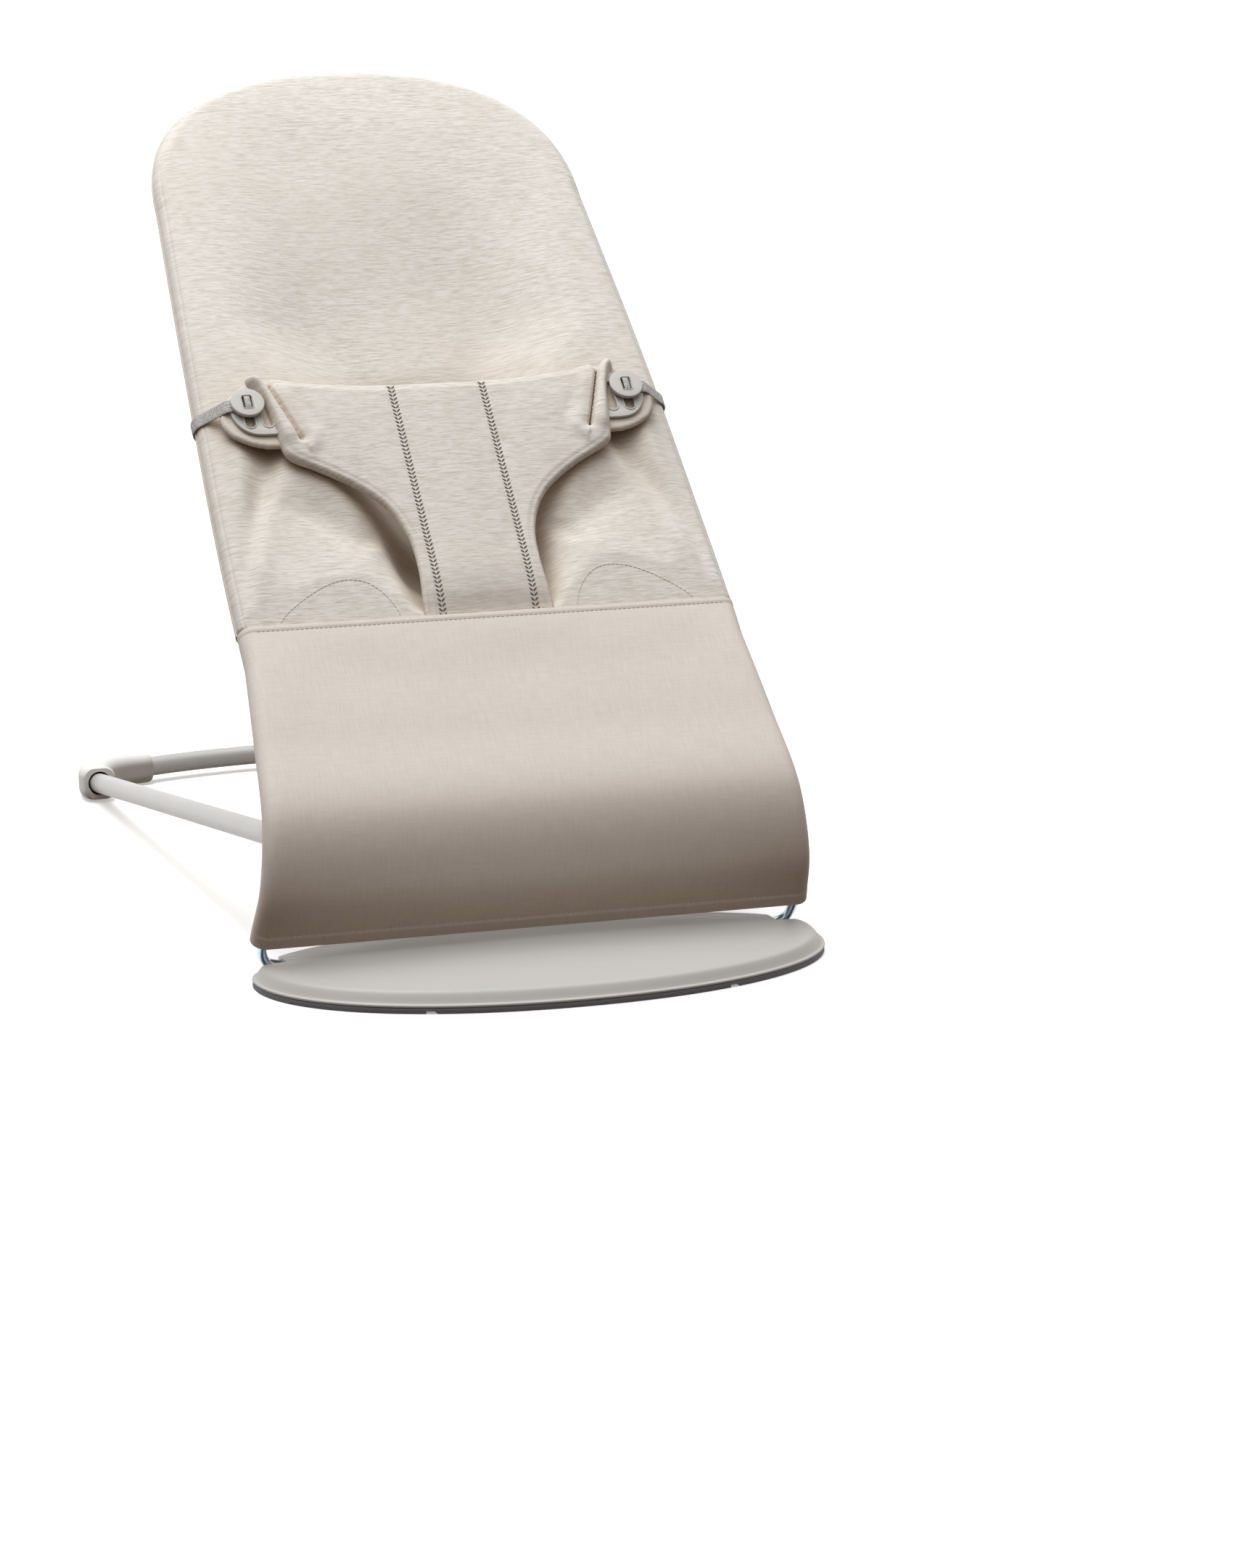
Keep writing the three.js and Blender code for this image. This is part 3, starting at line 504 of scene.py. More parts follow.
def webbing(name, light, dark):
    """Grey melange elastic: ribs along the band and a speckle of dark yarn."""
    m = Nodes(name)
    at = m.place("flat")
    rib, pick = m.wave(at, "Y", 0.0013), m.wave(at, "X", 0.0009)
    speckle = m.noise(m.scaled(at, (1300, 1300, 300)), 1.0, 2, 0.7)
    picks = m.math("MULTIPLY", m.math("MULTIPLY", pick, speckle), 0.8)
    height = m.math("ADD", m.math("MULTIPLY", rib, 0.4), picks)
    m.set(
        Base_Color=m.mix(m.spread(speckle, 0.40, 0.62), rgb(light), rgb(dark)),
        Roughness=m.spread(speckle, 0.3, 0.7, 0.8, 0.92), Sheen_Weight=0.15,
        Sheen_Roughness=0.5, Specular_IOR_Level=0.2, Normal=m.bump(height, 0.6, 0.0004),
    )
    return m.material


def thread(name, colour):
    """Twisted sewing thread."""
    m = Nodes(name)
    twist = m.noise(m.scaled(m.place(), (1500, 1500, 1500)), 1.0, 2)
    base = m.mix(m.spread(twist, 0.35, 0.65), rgb(colour), rgb(colour, 0.8))
    m.set(Base_Color=base, Roughness=m.spread(twist, 0.3, 0.7, 0.6, 0.8), Normal=m.bump(twist, 0.3, 0.0002))
    return m.material


JERSEY = jersey("seat_jersey")
JERSEY_BACK = jersey("seat_jersey_back", "CFCBC5", "BBB4AB")
WOVEN = woven("panel_woven", "D5CEC8", "CCC4BD")
PLATE_PLASTIC = moulded("plate_plastic", "B0AFAC", 0.5)
GREY_PLASTIC = moulded("fastener_plastic", "B8B7B4", 0.46, 0.08)
# painted shadow: colour of the dark plate that stands for the shade seen through the disc's window
PAINTED_WINDOW_SHADOW = moulded("painted_window_shadow", "4C4844", 0.7)
HUB_PLASTIC = moulded("hub_plastic", "9FA09F", 0.5)
RUBBER = moulded("floor_rubber", "777A82", 0.75, 0.25, 1800)
FOOT_RUBBER = moulded("foot_rubber", "DAD9D6", 0.62, 0.18, 2000)
TUBE_PAINT = metal("tube_paint", "B9B8B6", 0.36, 0.12)
SPRING_STEEL = metal("spring_steel", "B9CAD6", 0.22)
ZINC = metal("zinc_steel", "B4B5B6", 0.38)
ELASTIC = webbing("strap_elastic", "C9C8C6", "858584")
ZIGZAG_THREAD = thread("zigzag_thread", "4E4A45")
PALE_THREAD = thread("pale_thread", "D2CCC4")
PANEL_THREAD = thread("panel_thread", "C9C1B7")

# ---------------------------------------------------------------- seat cover

COVER_FROM = 226  # the cover starts under the front panel's top hem
COVER_THICK, COVER_EDGE_THICK = 4.6, 1.6
WRAP_R = 10.6
SEAM_INSET = 4.6
# how deep the fabric hangs: at the seat, along the whole back, at the head and in front of the seat
WELL_DEPTH, BACK_SLACK, HEAD_SLACK, FRONT_WALL_DEPTH = 37, 24, 7, 10
CREASE_DEPTH, VALLEY_DEPTH, SEAM_DEPTH = 5.6, 5.0, 0.9
PADDING_RISE, ROLL_HEIGHT, SWELL_HEIGHT, THIGH_HEIGHT = 1.6, 4.2, 1.5, 2.8


def outline(from_s, to_s, side_count, cap_count):
    """The cover's side and top edges in the flat, from the lower left to the lower right."""
    side_s = np.linspace(from_s, to_s, side_count)
    f = np.sin(np.linspace(-math.pi / 2, math.pi / 2, cap_count))
    left = np.stack([-half_width(side_s), side_s], axis=1)
    cap = np.stack([f * half_width(CAP_START), cap_end(f)], axis=1)
    return np.concatenate([left, cap, (left * (-1, 1))[::-1]])


def outline_distance(x, s):
    """Distance in the flat from the cover's side and top edges."""
    line = outline(COVER_FROM - 60, CAP_START, 240, 400)
    a, b = line[:-1], line[1:]
    keep = np.linalg.norm(b - a, axis=1) > 1e-6
    p = np.stack([x, s], axis=1)
    parts = (p[i : i + 2000] for i in range(0, len(p), 2000))
    return np.concatenate([to_segments(q, a[keep], b[keep])[0].min(1) for q in parts])


LOBE_SEAM = catmull([
    (149, 240), (141, 251), (130.5, 260), (117, 269), (104, 275),
    (92, 277), (80, 274), (71, 266), (64, 254), (61, 243),
], 12)
# the crease beside the side roll, and the soft valley above the thigh supports
SIDE_CREASE = catmull([
    (117, 408), (122, 394), (135, 359), (144, 339), (152.5, 316), (159.6, 293), (165.5, 272), (169, 255),
], 8)
THIGH_VALLEY = catmull([(131, 360), (118, 350), (96, 333), (76, 317), (62, 306)], 8)


def signed_distance(x, s, line):
    """Distance from a line on both halves of the seat, positive to its left, and how far along the line."""
    p = np.stack([np.abs(x), s], axis=1)
    a, b = line[:-1], line[1:]
    distance, t = to_segments(p, a, b)
    k = distance.argmin(1)
    d, q = (b - a)[k], p - a[k]
    cross = d[:, 0] * q[:, 1] - d[:, 1] * q[:, 0]
    return distance.min(1) * np.sign(cross), (k + t[np.arange(len(p)), k]) / len(a)


def bowl(x, s):
    """How far the slung fabric hangs below the plane of its edges."""
    ax = np.abs(x)
    # the hollow runs from near to far off the centre line, and is wider in the back than in the seat
    t, wide = smooth(325, 420, s), smooth(440, 520, s)
    near = 26 * t * (1 - wide) + 50 * wide
    far = (82 + 24 * t) * (1 - wide) + 140 * wide
    centre = band(246, 318, 345, 480, s) * WELL_DEPTH + band(250, 320, 430, 650, s) * BACK_SLACK
    back = band(400, 560, 590, 740, s) * HEAD_SLACK
    front_wall = smooth(238, 262, s) * (1 - smooth(40, 60, ax)) * (1 - smooth(290, 345, s)) * FRONT_WALL_DEPTH
    return (centre + back) * (1 - smooth(near, far, ax)) + front_wall


def cover_front(x, s, e):
    """Depth of the cover's front surface below the seat surface, e away from the cover's edge."""
    depth = bowl(x, s)
    ax = np.abs(x)
    inside = smooth(10, 60, e)
    # padding stands a little proud of the line between tube and bowl
    depth = depth - PADDING_RISE * inside * smooth(430, 520, s)
    # side roll with a crease beside it, steeper on the roll's side
    crease, along = signed_distance(x, s, SIDE_CREASE)
    width = np.where(crease < 0, 7.5, 12.0)
    depth = depth + CREASE_DEPTH * hump(crease, width) * band(0.0, 0.16, 0.72, 1.0, along)
    depth = depth - ROLL_HEIGHT * hump(e - 20, 13.0) * band(255, 300, 395, 440, s)
    # the surface swells on either side of the valley above the thigh supports
    valley, along = signed_distance(x, s, THIGH_VALLEY)
    depth = depth + VALLEY_DEPTH * hump(valley, 14.0) * band(0.08, 0.5, 0.8, 1.0, along)
    depth = depth - SWELL_HEIGHT * hump(ax - 104, 34.0) * hump(s - 372, 26.0)
    depth = depth - THIGH_HEIGHT * hump(ax - 99, 40.0) * hump(s - 274, 30.0) * smooth(241, 262, s)
    # seam of the thigh supports, with a raised lobe inside it
    k, _ = signed_distance(x, s, LOBE_SEAM)
    lobe = smooth(-2.5, 7.0, k) * 0.7 + smooth(4, 26, k) * 0.4
    depth = depth - lobe * band(243, 258, 272, 292, s)
    depth = depth + SEAM_DEPTH * hump(k, 2.0) * (s > 242)
    # soft undulation of the fabric
    wave = 0.7 * np.sin(x / 23.0 + s / 41.0) + 0.5 * np.sin(x / 37.0 - s / 29.0 + 1.3)
    depth = depth + wave * inside * smooth(250, 300, s)
    # edge wrapped round the tube, with the seam beside it
    roll = np.where(e < WRAP_R, WRAP_R - np.sqrt(np.maximum(0, WRAP_R**2 - (WRAP_R - e) ** 2)), 0)
    seam = 0.55 * hump(e - SEAM_INSET, 0.8)
    depth = depth * smooth(6, 26, e) + 0.7 + roll + seam - 0.5 * smooth(8, 20, e)
    # low enough to pass under the panel's hem
    under_hem = 2.7 - 5.4 * np.clip((s - 243.6) / 44.0, 0, 1)
    return np.where(s < 292, np.maximum(depth, under_hem), depth)


def cover_grid():
    """Columns as a share of the half width, and rows as a share of the length, closer at edges and hem."""
    inset = np.array([0, 0.7, 1.5, 2.3, 3.1, 3.7, 4.2, 4.6, 5.0, 5.5, 6.2, 7.2, 8.6, 10.5, 13, 16])
    half = np.concatenate([inset, np.linspace(18.5, 170, 56)[:-1]]) / 170.0
    f = np.concatenate([half - 1, [0], (1 - half)[::-1]])
    rows = np.concatenate([
        np.linspace(COVER_FROM, 296, 38)[:-1], np.linspace(296, EDGE_LENGTH - 18, 138)[:-1],
        EDGE_LENGTH - 18 + 18 * np.sin(np.linspace(0, math.pi / 2, 18)),
    ])
    return f, (rows - COVER_FROM) / (EDGE_LENGTH - COVER_FROM)


def sleeve_ring(s, x, outward_x, outward_s):
    """Cross-section of the fabric round the tube, from the outer edge to the seam behind."""
    angles = np.radians(np.concatenate([np.linspace(4, -100, 12), np.linspace(-112, -150, 4)]))
    inset = np.concatenate([TUBE_INSET - WRAP_R * np.cos(angles), [25, 30, 34.5, 38]])
    depth = np.concatenate([TUBE_DEPTH - 0.4 - WRAP_R * np.sin(angles), [17.2, 12.4, 7.4, 6.0]])
    return seat_point(s - outward_s * inset, x - outward_x * inset, -depth)


def build_cover():
    f, v = cover_grid()
    rows, columns = len(v), len(f)
    s = (COVER_FROM + (cap_end(f)[None, :] - COVER_FROM) * v[:, None]).ravel()
    x = np.tile(f, rows) * half_width(np.minimum(s, CAP_START))
    e = outline_distance(x, s)
    # a little narrower where it runs on under the front panel
    x = x * (1 - 0.016 * (1 - smooth(243.4, 246.5, s)))
    depth = cover_front(x, s, e)
    front = seat_point(s, x, -depth)
    # front surface pushed back along its own normal gives the inner face of the padding
    normal = grid_normals(front.reshape(rows, columns, 3)).reshape(-1, 3)
    thick = COVER_EDGE_THICK + (COVER_THICK - COVER_EDGE_THICK) * smooth(6, 26, e)
    back = front - normal * thick[:, None]
    edge = e < 0.05
    back[edge] = seat_point(s[edge], x[edge], -depth[edge] - 1.4)
    flat = np.tile(np.stack([x, s, np.zeros_like(x)], axis=1), (2, 1))
    points = np.concatenate([front, back])
    return add_solid("seat_cover_skin", points, shell_faces(rows, columns), JERSEY, flat, WELD)


SLEEVE_FROM = 244


def edge_line():
    """Points round the cover's side and top edges, with the outward direction in the flat."""
    line = spaced(outline(SLEEVE_FROM, CAP_START - 1, 130, 150), 3.4)
    tangent = unit(np.gradient(line, axis=0))
    return line, np.stack([-tangent[:, 1], tangent[:, 0]], axis=1)


def build_sleeve():
    """Fabric tunnel round the seat tube, closed to the back of the cover."""
    line, outward = edge_line()
    rings = np.array([sleeve_ring(p[1], p[0], o[0], o[1]) for p, o in zip(line, outward)])
    around = np.arange(rings.shape[1]) * 3.2
    flat = np.stack(np.broadcast_arrays(around[None, :], lengths(line)[:, None], 1.0), axis=-1)
    return thick_sheet("edge_sleeve", rings, flat, 1.3, JERSEY_BACK)


# ---------------------------------------------------------------- front panel

PANEL_R = 10
PANEL_THICK = 1.6
PANEL_TOP = 243.4
HEM_TOP_STITCH, HEM_BOTTOM_STITCH = 239.2, 9.5


def panel_side(s):
    """Inset from the side edge and depth of the fabric, from the front round the edge to its end behind."""
    def arc(*angles):
        angles = np.radians(np.linspace(*angles))
        return np.stack([PANEL_R * (1 - np.cos(angles)), PANEL_R * (1 - np.sin(angles))], axis=1)

    tunnel = np.concatenate([arc(-62, -150, 8), [(25, 17.5), (30, 12.6), (34.5, 7.0), (38, 4.4)]])
    short = arc(-53, -72, len(tunnel))
    t = smooth(136, 156, s)
    return np.concatenate([arc(90, -50, 12), short * (1 - t) + tunnel * t])


def panel_depth(x, s):
    """Small dips of the stretched sheet below the seat surface, with its two hems."""
    fraction = np.abs(x) / half_width(s)
    pull = 2.6 * (1 - fraction**2) * band(6, 60, 190, 243, s)
    ripple = 0.35 * np.sin(x / 19.0 + 0.6) * smooth(232, 210, s) * smooth(150, 225, s)
    top_hem = -0.55 * smooth(237.5, 240.5, s) + 0.35 * hump(s - HEM_TOP_STITCH, 0.8)
    bottom_hem = -0.6 * smooth(11.5, 7.5, s) + 0.35 * hump(s - HEM_BOTTOM_STITCH, 0.9)
    return pull + ripple + top_hem + bottom_hem


def build_panel():
    rows = np.unique(np.concatenate([
        np.arange(0.6, 16, 0.8), np.arange(16, 232, 4.0), np.arange(232, PANEL_TOP, 0.8), [PANEL_TOP]]))
    grid, flat = [], []
    for s in rows:
        side = panel_side(s)
        w = float(half_width(s))
        middle = np.linspace(-(w - PANEL_R), w - PANEL_R, 70)[1:-1]
        x = np.concatenate([-(w - side[::-1, 0]), middle, w - side[:, 0]])
        depth = np.concatenate([side[::-1, 1], np.zeros(len(middle)), side[:, 1]])
        inner = np.pad(np.ones(len(middle)), len(side))
        blend = smooth(0, 26, w - PANEL_R - np.abs(x)) * inner
        hems = panel_depth(np.full_like(x, 0.999 * w), s)
        depth = depth + panel_depth(x, s) * blend + hems * (1 - blend) * (depth < PANEL_R)
        line = seat_point(s, x, -depth)
        run = lengths(line)
        flat.append(np.stack([run - run[-1] / 2, np.full_like(x, s), np.zeros_like(x)], axis=1))
        grid.append(line)
    return thick_sheet("front_panel", np.array(grid), np.array(flat), -PANEL_THICK, WOVEN)


def thick_sheet(name, grid, flat, thickness, material):
    """Closed sheet from a grid of points, given thickness along its own normal."""
    back = grid + grid_normals(grid) * thickness
    points = np.concatenate([grid.reshape(-1, 3), back.reshape(-1, 3)])
    flat = np.tile(flat.reshape(-1, 3), (2, 1))
    return add_solid(name, points, shell_faces(*grid.shape[:2]), material, flat, SHEET_WELD, 60)


# ---------------------------------------------------------------- stitches


# places along a stitch, and its thickness there
STITCH_PROFILE = ((0.0, 0.35), (0.18, 0.95), (0.5, 1.1), (0.82, 0.95), (1.0, 0.35))
STITCH_SIDES = 6


def capsules(name, starts, ends, radius, material):
    """Short threads from each start to its end, each a closed rod with tapered ends."""
    points, faces = [], []
    ring = circle(1.0, STITCH_SIDES)
    for a, b in zip(starts, ends):
        d = b - a
        # any direction that no stitch runs in gives the rod its first side
        u = unit(np.cross(unit(d), (0.3, 0.5, 0.81)))
        v = np.cross(unit(d), u)
        faces += capped_faces(len(STITCH_PROFILE), STITCH_SIDES, len(points))
        for along, scale in STITCH_PROFILE:
            points += [a + d * along + (u * p + v * q) * radius * scale for p, q in ring]
    return add_solid(name, points, faces, material)


def running_stitch(name, line, length, gap, radius, material):
    """Row of stitches along a line of points."""
    at = lengths(line)
    starts = np.arange(gap, at[-1] - length, length + gap)
    pick = lambda t: np.stack([np.interp(t, at, line[:, k]) for k in range(3)], axis=1)
    return capsules(name, pick(starts), pick(starts + length), radius, material)


# ---------------------------------------------------------------- restraint panel

RESTRAINT_SPAN = RESTRAINT_TOP_S - RESTRAINT_BOTTOM_S
# lower and upper end of the fasteners' plane, and of the middle layer of the padded panel
PLANE_LOW, PLANE_HIGH = seat_point(RESTRAINT_BOTTOM_S, 0, 0.6), seat_point(RESTRAINT_TOP_S, 0, 5.4)
MIDDLE_LOW, MIDDLE_HIGH = seat_point(RESTRAINT_BOTTOM_S, 0, 1.6), seat_point(RESTRAINT_TOP_S, 0, 11.2)
RESTRAINT_UP = unit(PLANE_HIGH - PLANE_LOW)
RESTRAINT_OUT = np.array([0.0, -RESTRAINT_UP[2], RESTRAINT_UP[1]])
DIVE_DEPTH = 4.4
RESTRAINT_HALF = [
    (45.6, 238.5), (44.6, 258), (43.2, 281), (44.6, 305), (51.5, 326), (61, 340), (73, 351), (87, 361),
    (101, 369.5), (110, 374.5), (115.6, 380), (117.8, 388), (120.6, 405), (123.2, 422), (127.5, 435),
    (132, 443.6), (131, 447.2), (125.5, 447.6), (121, 443.2), (118.6, 439.6), (116.2, 443.4), (111, 443.6),
    (101, 441), (80, 437.6), (55, 435.3), (28, 434.2),
]
ZIGZAG_X, ZIGZAG_PITCH, ZIGZAG_R = 32.5, 3.3, 0.42
# a zigzag stitch runs from this far off its line to this far, and that much higher
ZIGZAG_FROM, ZIGZAG_TO, ZIGZAG_RISE = 0.2, 2.5, 1.9
PLEAT = np.array([(118.2, 437.5), (102.8, 391)])


def restraint_layers(x, s):
    """Middle point of the panel at (x, s). Its lower end dives in behind the front panel."""
    t = (s - RESTRAINT_BOTTOM_S) / RESTRAINT_SPAN
    p = MIDDLE_LOW + (MIDDLE_HIGH - MIDDLE_LOW) * t[:, None]
    p = p - RESTRAINT_OUT * (DIVE_DEPTH * (1 - smooth(236, 282, s)))[:, None]
    p[:, 0] = x
    return p


def polygon_distance(points, polygon):
    return to_segments(points, polygon, np.roll(polygon, -1, axis=0))[0].min(1)


def inside(points, polygon):
    x, y = points[:, 0], points[:, 1]
    result = np.zeros(len(points), bool)
    for (x0, y0), (x1, y1) in zip(polygon, np.roll(polygon, -1, axis=0)):
        crossing = (y0 > y) != (y1 > y)
        with np.errstate(divide="ignore", invalid="ignore"):
            at = (x1 - x0) * (y - y0) / (y1 - y0) + x0
        result ^= crossing & (x < at)
    return result


def filled(polygon, step):
    """Triangles filling a polygon, with inner points on a grid."""
    low, high = polygon.min(0), polygon.max(0)
    xs, ys = np.arange(low[0], high[0], step), np.arange(low[1], high[1], step * 0.87)
    gx, gy = np.meshgrid(xs, ys)
    gx = gx + (np.arange(len(ys)) % 2)[:, None] * step / 2
    grid = np.stack([gx.ravel(), gy.ravel()], axis=1)
    grid = grid[inside(grid, polygon)]
    grid = grid[polygon_distance(grid, polygon) > step * 0.55]
    verts = [Vector(p) for p in np.concatenate([polygon, grid])]
    n = len(polygon)
    edges = [(i, (i + 1) % n) for i in range(n)]
    out = geometry.delaunay_2d_cdt(verts, edges, [list(range(n))], 1, 1e-5)
    return np.array([tuple(v) for v in out[0]]), out[2]


def pillow(name, polygon, step, place, half_thickness, edge_r, material, bulge=None):
    """Padded piece with a rounded edge: place(x, s) gives middle points, bulge shapes its front face."""
    flat, triangles = filled(polygon, step)
    x, s = flat[:, 0], flat[:, 1]
    d = polygon_distance(flat, polygon)
    edge = d < 1e-3
    profile = np.sqrt(np.clip(1 - (1 - np.minimum(d / edge_r, 1)) ** 2, 0, 1))
    half = half_thickness(x, s) * profile
    front = half + (bulge(x, s, d) if bulge is not None else 0) * ~edge
    middle = place(x, s)
    top = middle + RESTRAINT_OUT * front[:, None]
    bottom = middle - RESTRAINT_OUT * half[:, None]
    n = len(flat)
    other = np.where(edge, np.arange(n), np.arange(n) + n)
    faces = [list(t) for t in triangles] + [[int(other[i]) for i in t[::-1]] for t in triangles]
    at = np.tile(np.stack([x, s, np.zeros(n)], axis=1), (2, 1))
    return add_solid(name, np.concatenate([top, bottom]), faces, material, at, None)


def restraint_half_thickness(x, s):
    return 0.9 + 2.5 * smooth(242, 262, s) + 2.4 * smooth(262, 440, s)


def restraint_bulge(x, s, d):
    """Front face: quilting dips along the zigzag seams, the slit and the rolled end folds."""
    ax = np.abs(x)
    seam = hump(ax - ZIGZAG_X, 4.0) * smooth(0, 4, d)
    puff = 0.9 * np.cos(np.clip(x / ZIGZAG_X, -1, 1) * math.pi / 2) * smooth(246, 270, s)
    pleat, along = (v[:, 0] for v in to_segments(np.stack([ax, s], axis=1), PLEAT[:1], PLEAT[1:]))
    groove = 4.4 * hump(pleat, 1.15)
    pinch = 1.7 * hump(pleat, 7.0) * hump(along - 1.0, 0.10)
    run_x, run_s = PLEAT[0] - PLEAT[1]
    signed = (ax - PLEAT[1][0]) * run_s - (s - PLEAT[1][1]) * run_x
    outer = (signed > 0) * smooth(380, 394, s)
    roll = 3.4 * outer * np.sin(np.clip(pleat / 14.0, 0, 1) * math.pi) ** 0.75
    inner_roll = 1.6 * (signed <= 0) * hump(pleat - 8, 6.0) * smooth(0.02, 0.3, along)
    folds = np.sin((s + 0.9 * ax) / 6.2) * smooth(70, 96, ax) * (1 - outer) * hump(s - 386, 16.0)
    drape = np.sin((s - 0.35 * ax) / 9.0) * band(45, 80, 95, 120, ax) * smooth(345, 375, s)
    turned = 0.7 * hump(d - 4.2, 1.3) * (1 - outer)
    total = -1.0 * seam + puff - groove - pinch + roll + inner_roll + 0.55 * folds + 0.5 * drape - turned
    return total * smooth(0, 4, d)


SWELL_VOXEL, SWELL_PRESSURE, SWELL_LIMIT, SWELL_FRAMES = 0.004, 4.0, 0.006, 20


def inflate(shape, followers, held):
    """Lets a padded piece swell like stuffed cloth between its held places, and moves its stitches too."""
    scene = bpy.context.scene
    copy = bpy.data.objects.new("swelling", shape.data.copy())
    scene.collection.objects.link(copy)
    m = copy.modifiers.new("grid", "REMESH")
    m.mode, m.voxel_size = "VOXEL", SWELL_VOXEL
    apply_modifiers(copy)
    rest = np.array([v.co for v in copy.data.vertices])
    group = copy.vertex_groups.new(name="held")
    group.add([int(i) for i in np.nonzero(held(rest / MM))[0]], 1.0, "REPLACE")
    cloth = copy.modifiers.new("cloth", "CLOTH")
    settings = cloth.settings
    settings.quality, settings.mass = 6, 0.3
    settings.tension_stiffness, settings.compression_stiffness, settings.shear_stiffness = 12, 12, 6
    settings.bending_stiffness = 0.6
    settings.use_pressure, settings.uniform_pressure_force = True, SWELL_PRESSURE
    settings.effector_weights.gravity = 0
    settings.vertex_group_mass = "held"
    cloth.collision_settings.use_collision = False
    for f in range(1, SWELL_FRAMES + 1):
        scene.frame_set(f)
    move = np.array([v.co for v in evaluated(copy).to_mesh().vertices]) - rest
    scene.frame_set(1)
    size = np.linalg.norm(move, axis=1)
    move *= np.minimum(1, SWELL_LIMIT / np.maximum(size, 1e-9))[:, None]
    tree = kdtree.KDTree(len(rest))
    for i, p in enumerate(rest):
        tree.insert(p, i)
    tree.balance()
    for obj in (shape, *followers):
        for v in obj.data.vertices:
            near = tree.find_n(v.co, 4)
            weight = [1 / (d + 0.0005) for _, _, d in near]
            total = sum(weight)
            v.co += Vector(sum(move[i] * w for (_, i, _), w in zip(near, weight)) / total)
    bpy.data.objects.remove(copy)


def restraint_held(points):
    """Where the restraint panel keeps its shape: its edges, its seams and its ends."""
    run = MIDDLE_HIGH - MIDDLE_LOW
    s = RESTRAINT_BOTTOM_S + (points - MIDDLE_LOW) @ unit(run) * (RESTRAINT_SPAN / np.linalg.norm(run))
    ax = np.abs(points[:, 0])
    edge = polygon_distance(np.stack([points[:, 0], s], axis=1), restraint_outline())
    return (edge < 4) | (np.abs(ax - ZIGZAG_X) < 3.5) | (s < 256) | (ax > 98)


def restraint_outline():
    right = np.concatenate([[(0, 238.5), (15, 238.5), (30, 238.5)], catmull(RESTRAINT_HALF, 10)])
    left = (right[::-1] * (-1, 1))[:-1]
    return spaced(np.concatenate([right, [(0, 434.0)], left]), 1.3)[:-1]


def restraint_surface(x, s, lift):
    """Points a little above the restraint panel's front face, well inside its edge."""
    off = restraint_half_thickness(x, s) + restraint_bulge(x, s, np.full(len(x), 9.0)) + lift
    return restraint_layers(x, s) + RESTRAINT_OUT * off[:, None]


def build_restraint():
    obj = pillow(
        "restraint_panel_padded", restraint_outline(), 1.35, restraint_layers, restraint_half_thickness, 5.5,
        JERSEY, restraint_bulge)
    stitches = []
    rows = np.arange(244.5, 432.2, ZIGZAG_PITCH)
    for _, side in SIDES:
        for lean in (-1, 1):
            line = np.full(len(rows), side * ZIGZAG_X)
            inner = restraint_surface(line + lean * ZIGZAG_FROM, rows, 0.12)
            outer = restraint_surface(line + lean * ZIGZAG_TO, rows + ZIGZAG_RISE, 0.12)
            stitches.append(capsules("zigzag", inner, outer, ZIGZAG_R, ZIGZAG_THREAD))
        # a row of dark stitches in the slit's groove, set close so that it also reads as the slit's shade:
        # partly stitching, partly painted shadow
        groove = np.linspace(PLEAT[0], PLEAT[1], 40)
        groove = restraint_surface(groove[:, 0] * side, groove[:, 1], 1.42)
        stitches.append(running_stitch("pleat", groove, 2.6, 0.4, 0.5, ZIGZAG_THREAD))
    stitching = join("restraint_stitching", stitches)
    inflate(obj, [stitching], restraint_held)
    return obj, stitching


# ---------------------------------------------------------------- fasteners

FASTENER_SHARE = (DISC_S - RESTRAINT_BOTTOM_S) / RESTRAINT_SPAN
FASTENER_AT = PLANE_LOW * (1 - FASTENER_SHARE) + PLANE_HIGH * FASTENER_SHARE


def fastener_points(side, points):
    """Points given as outwards, up the seat, off the seat, measured from the disc centre."""
    p = np.asarray(points, float)
    at = FASTENER_AT + p[:, 1:2] * RESTRAINT_UP + p[:, 2:3] * RESTRAINT_OUT
    at[:, 0] = side * (DISC_X + p[:, 0])
    return at


def plate(name, side, outline, holes, bottom, top, edge, material=GREY_PLASTIC, resolution=3):
    """Flat plate with rounded edges, drawn as a 2D curve in the fastener's plane."""
    curve = bpy.data.curves.new(name, "CURVE")
    curve.dimensions, curve.fill_mode = "2D", "BOTH"
    curve.extrude = (top - bottom) / 2 - edge
    curve.bevel_depth, curve.bevel_resolution, curve.offset = edge, resolution, -edge
    for loop in [outline, *holes]:
        spline = curve.splines.new("POLY")
        spline.points.add(len(loop) - 1)
        for point, (x, y) in zip(spline.points, loop):
            point.co = (x, y, 0, 1)
        spline.use_cyclic_u = True
    drawn = bpy.data.objects.new(name, curve)
    bpy.context.scene.collection.objects.link(drawn)
    bpy.context.view_layer.update()
    mesh = bpy.data.meshes.new_from_object(evaluated(drawn))
    bpy.data.objects.remove(drawn)
    co = np.array([v.co for v in mesh.vertices])
    co[:, 2] += (top + bottom) / 2
    faces = [list(p.vertices) for p in mesh.polygons]
    bpy.data.meshes.remove(mesh)
    return add_solid(name, fastener_points(side, co), faces, material, sharp=50)


def slot_loop(x, radius):
    """Outline of a keyhole slot: two half circles joined by straight sides."""
    ends = ((SLOT_TOP, 0), (SLOT_BOTTOM, math.pi))
    return [
        (x + radius * math.cos(a), y + radius * math.sin(a))
        for y, turn in ends for a in np.linspace(turn, turn + math.pi, 12)]


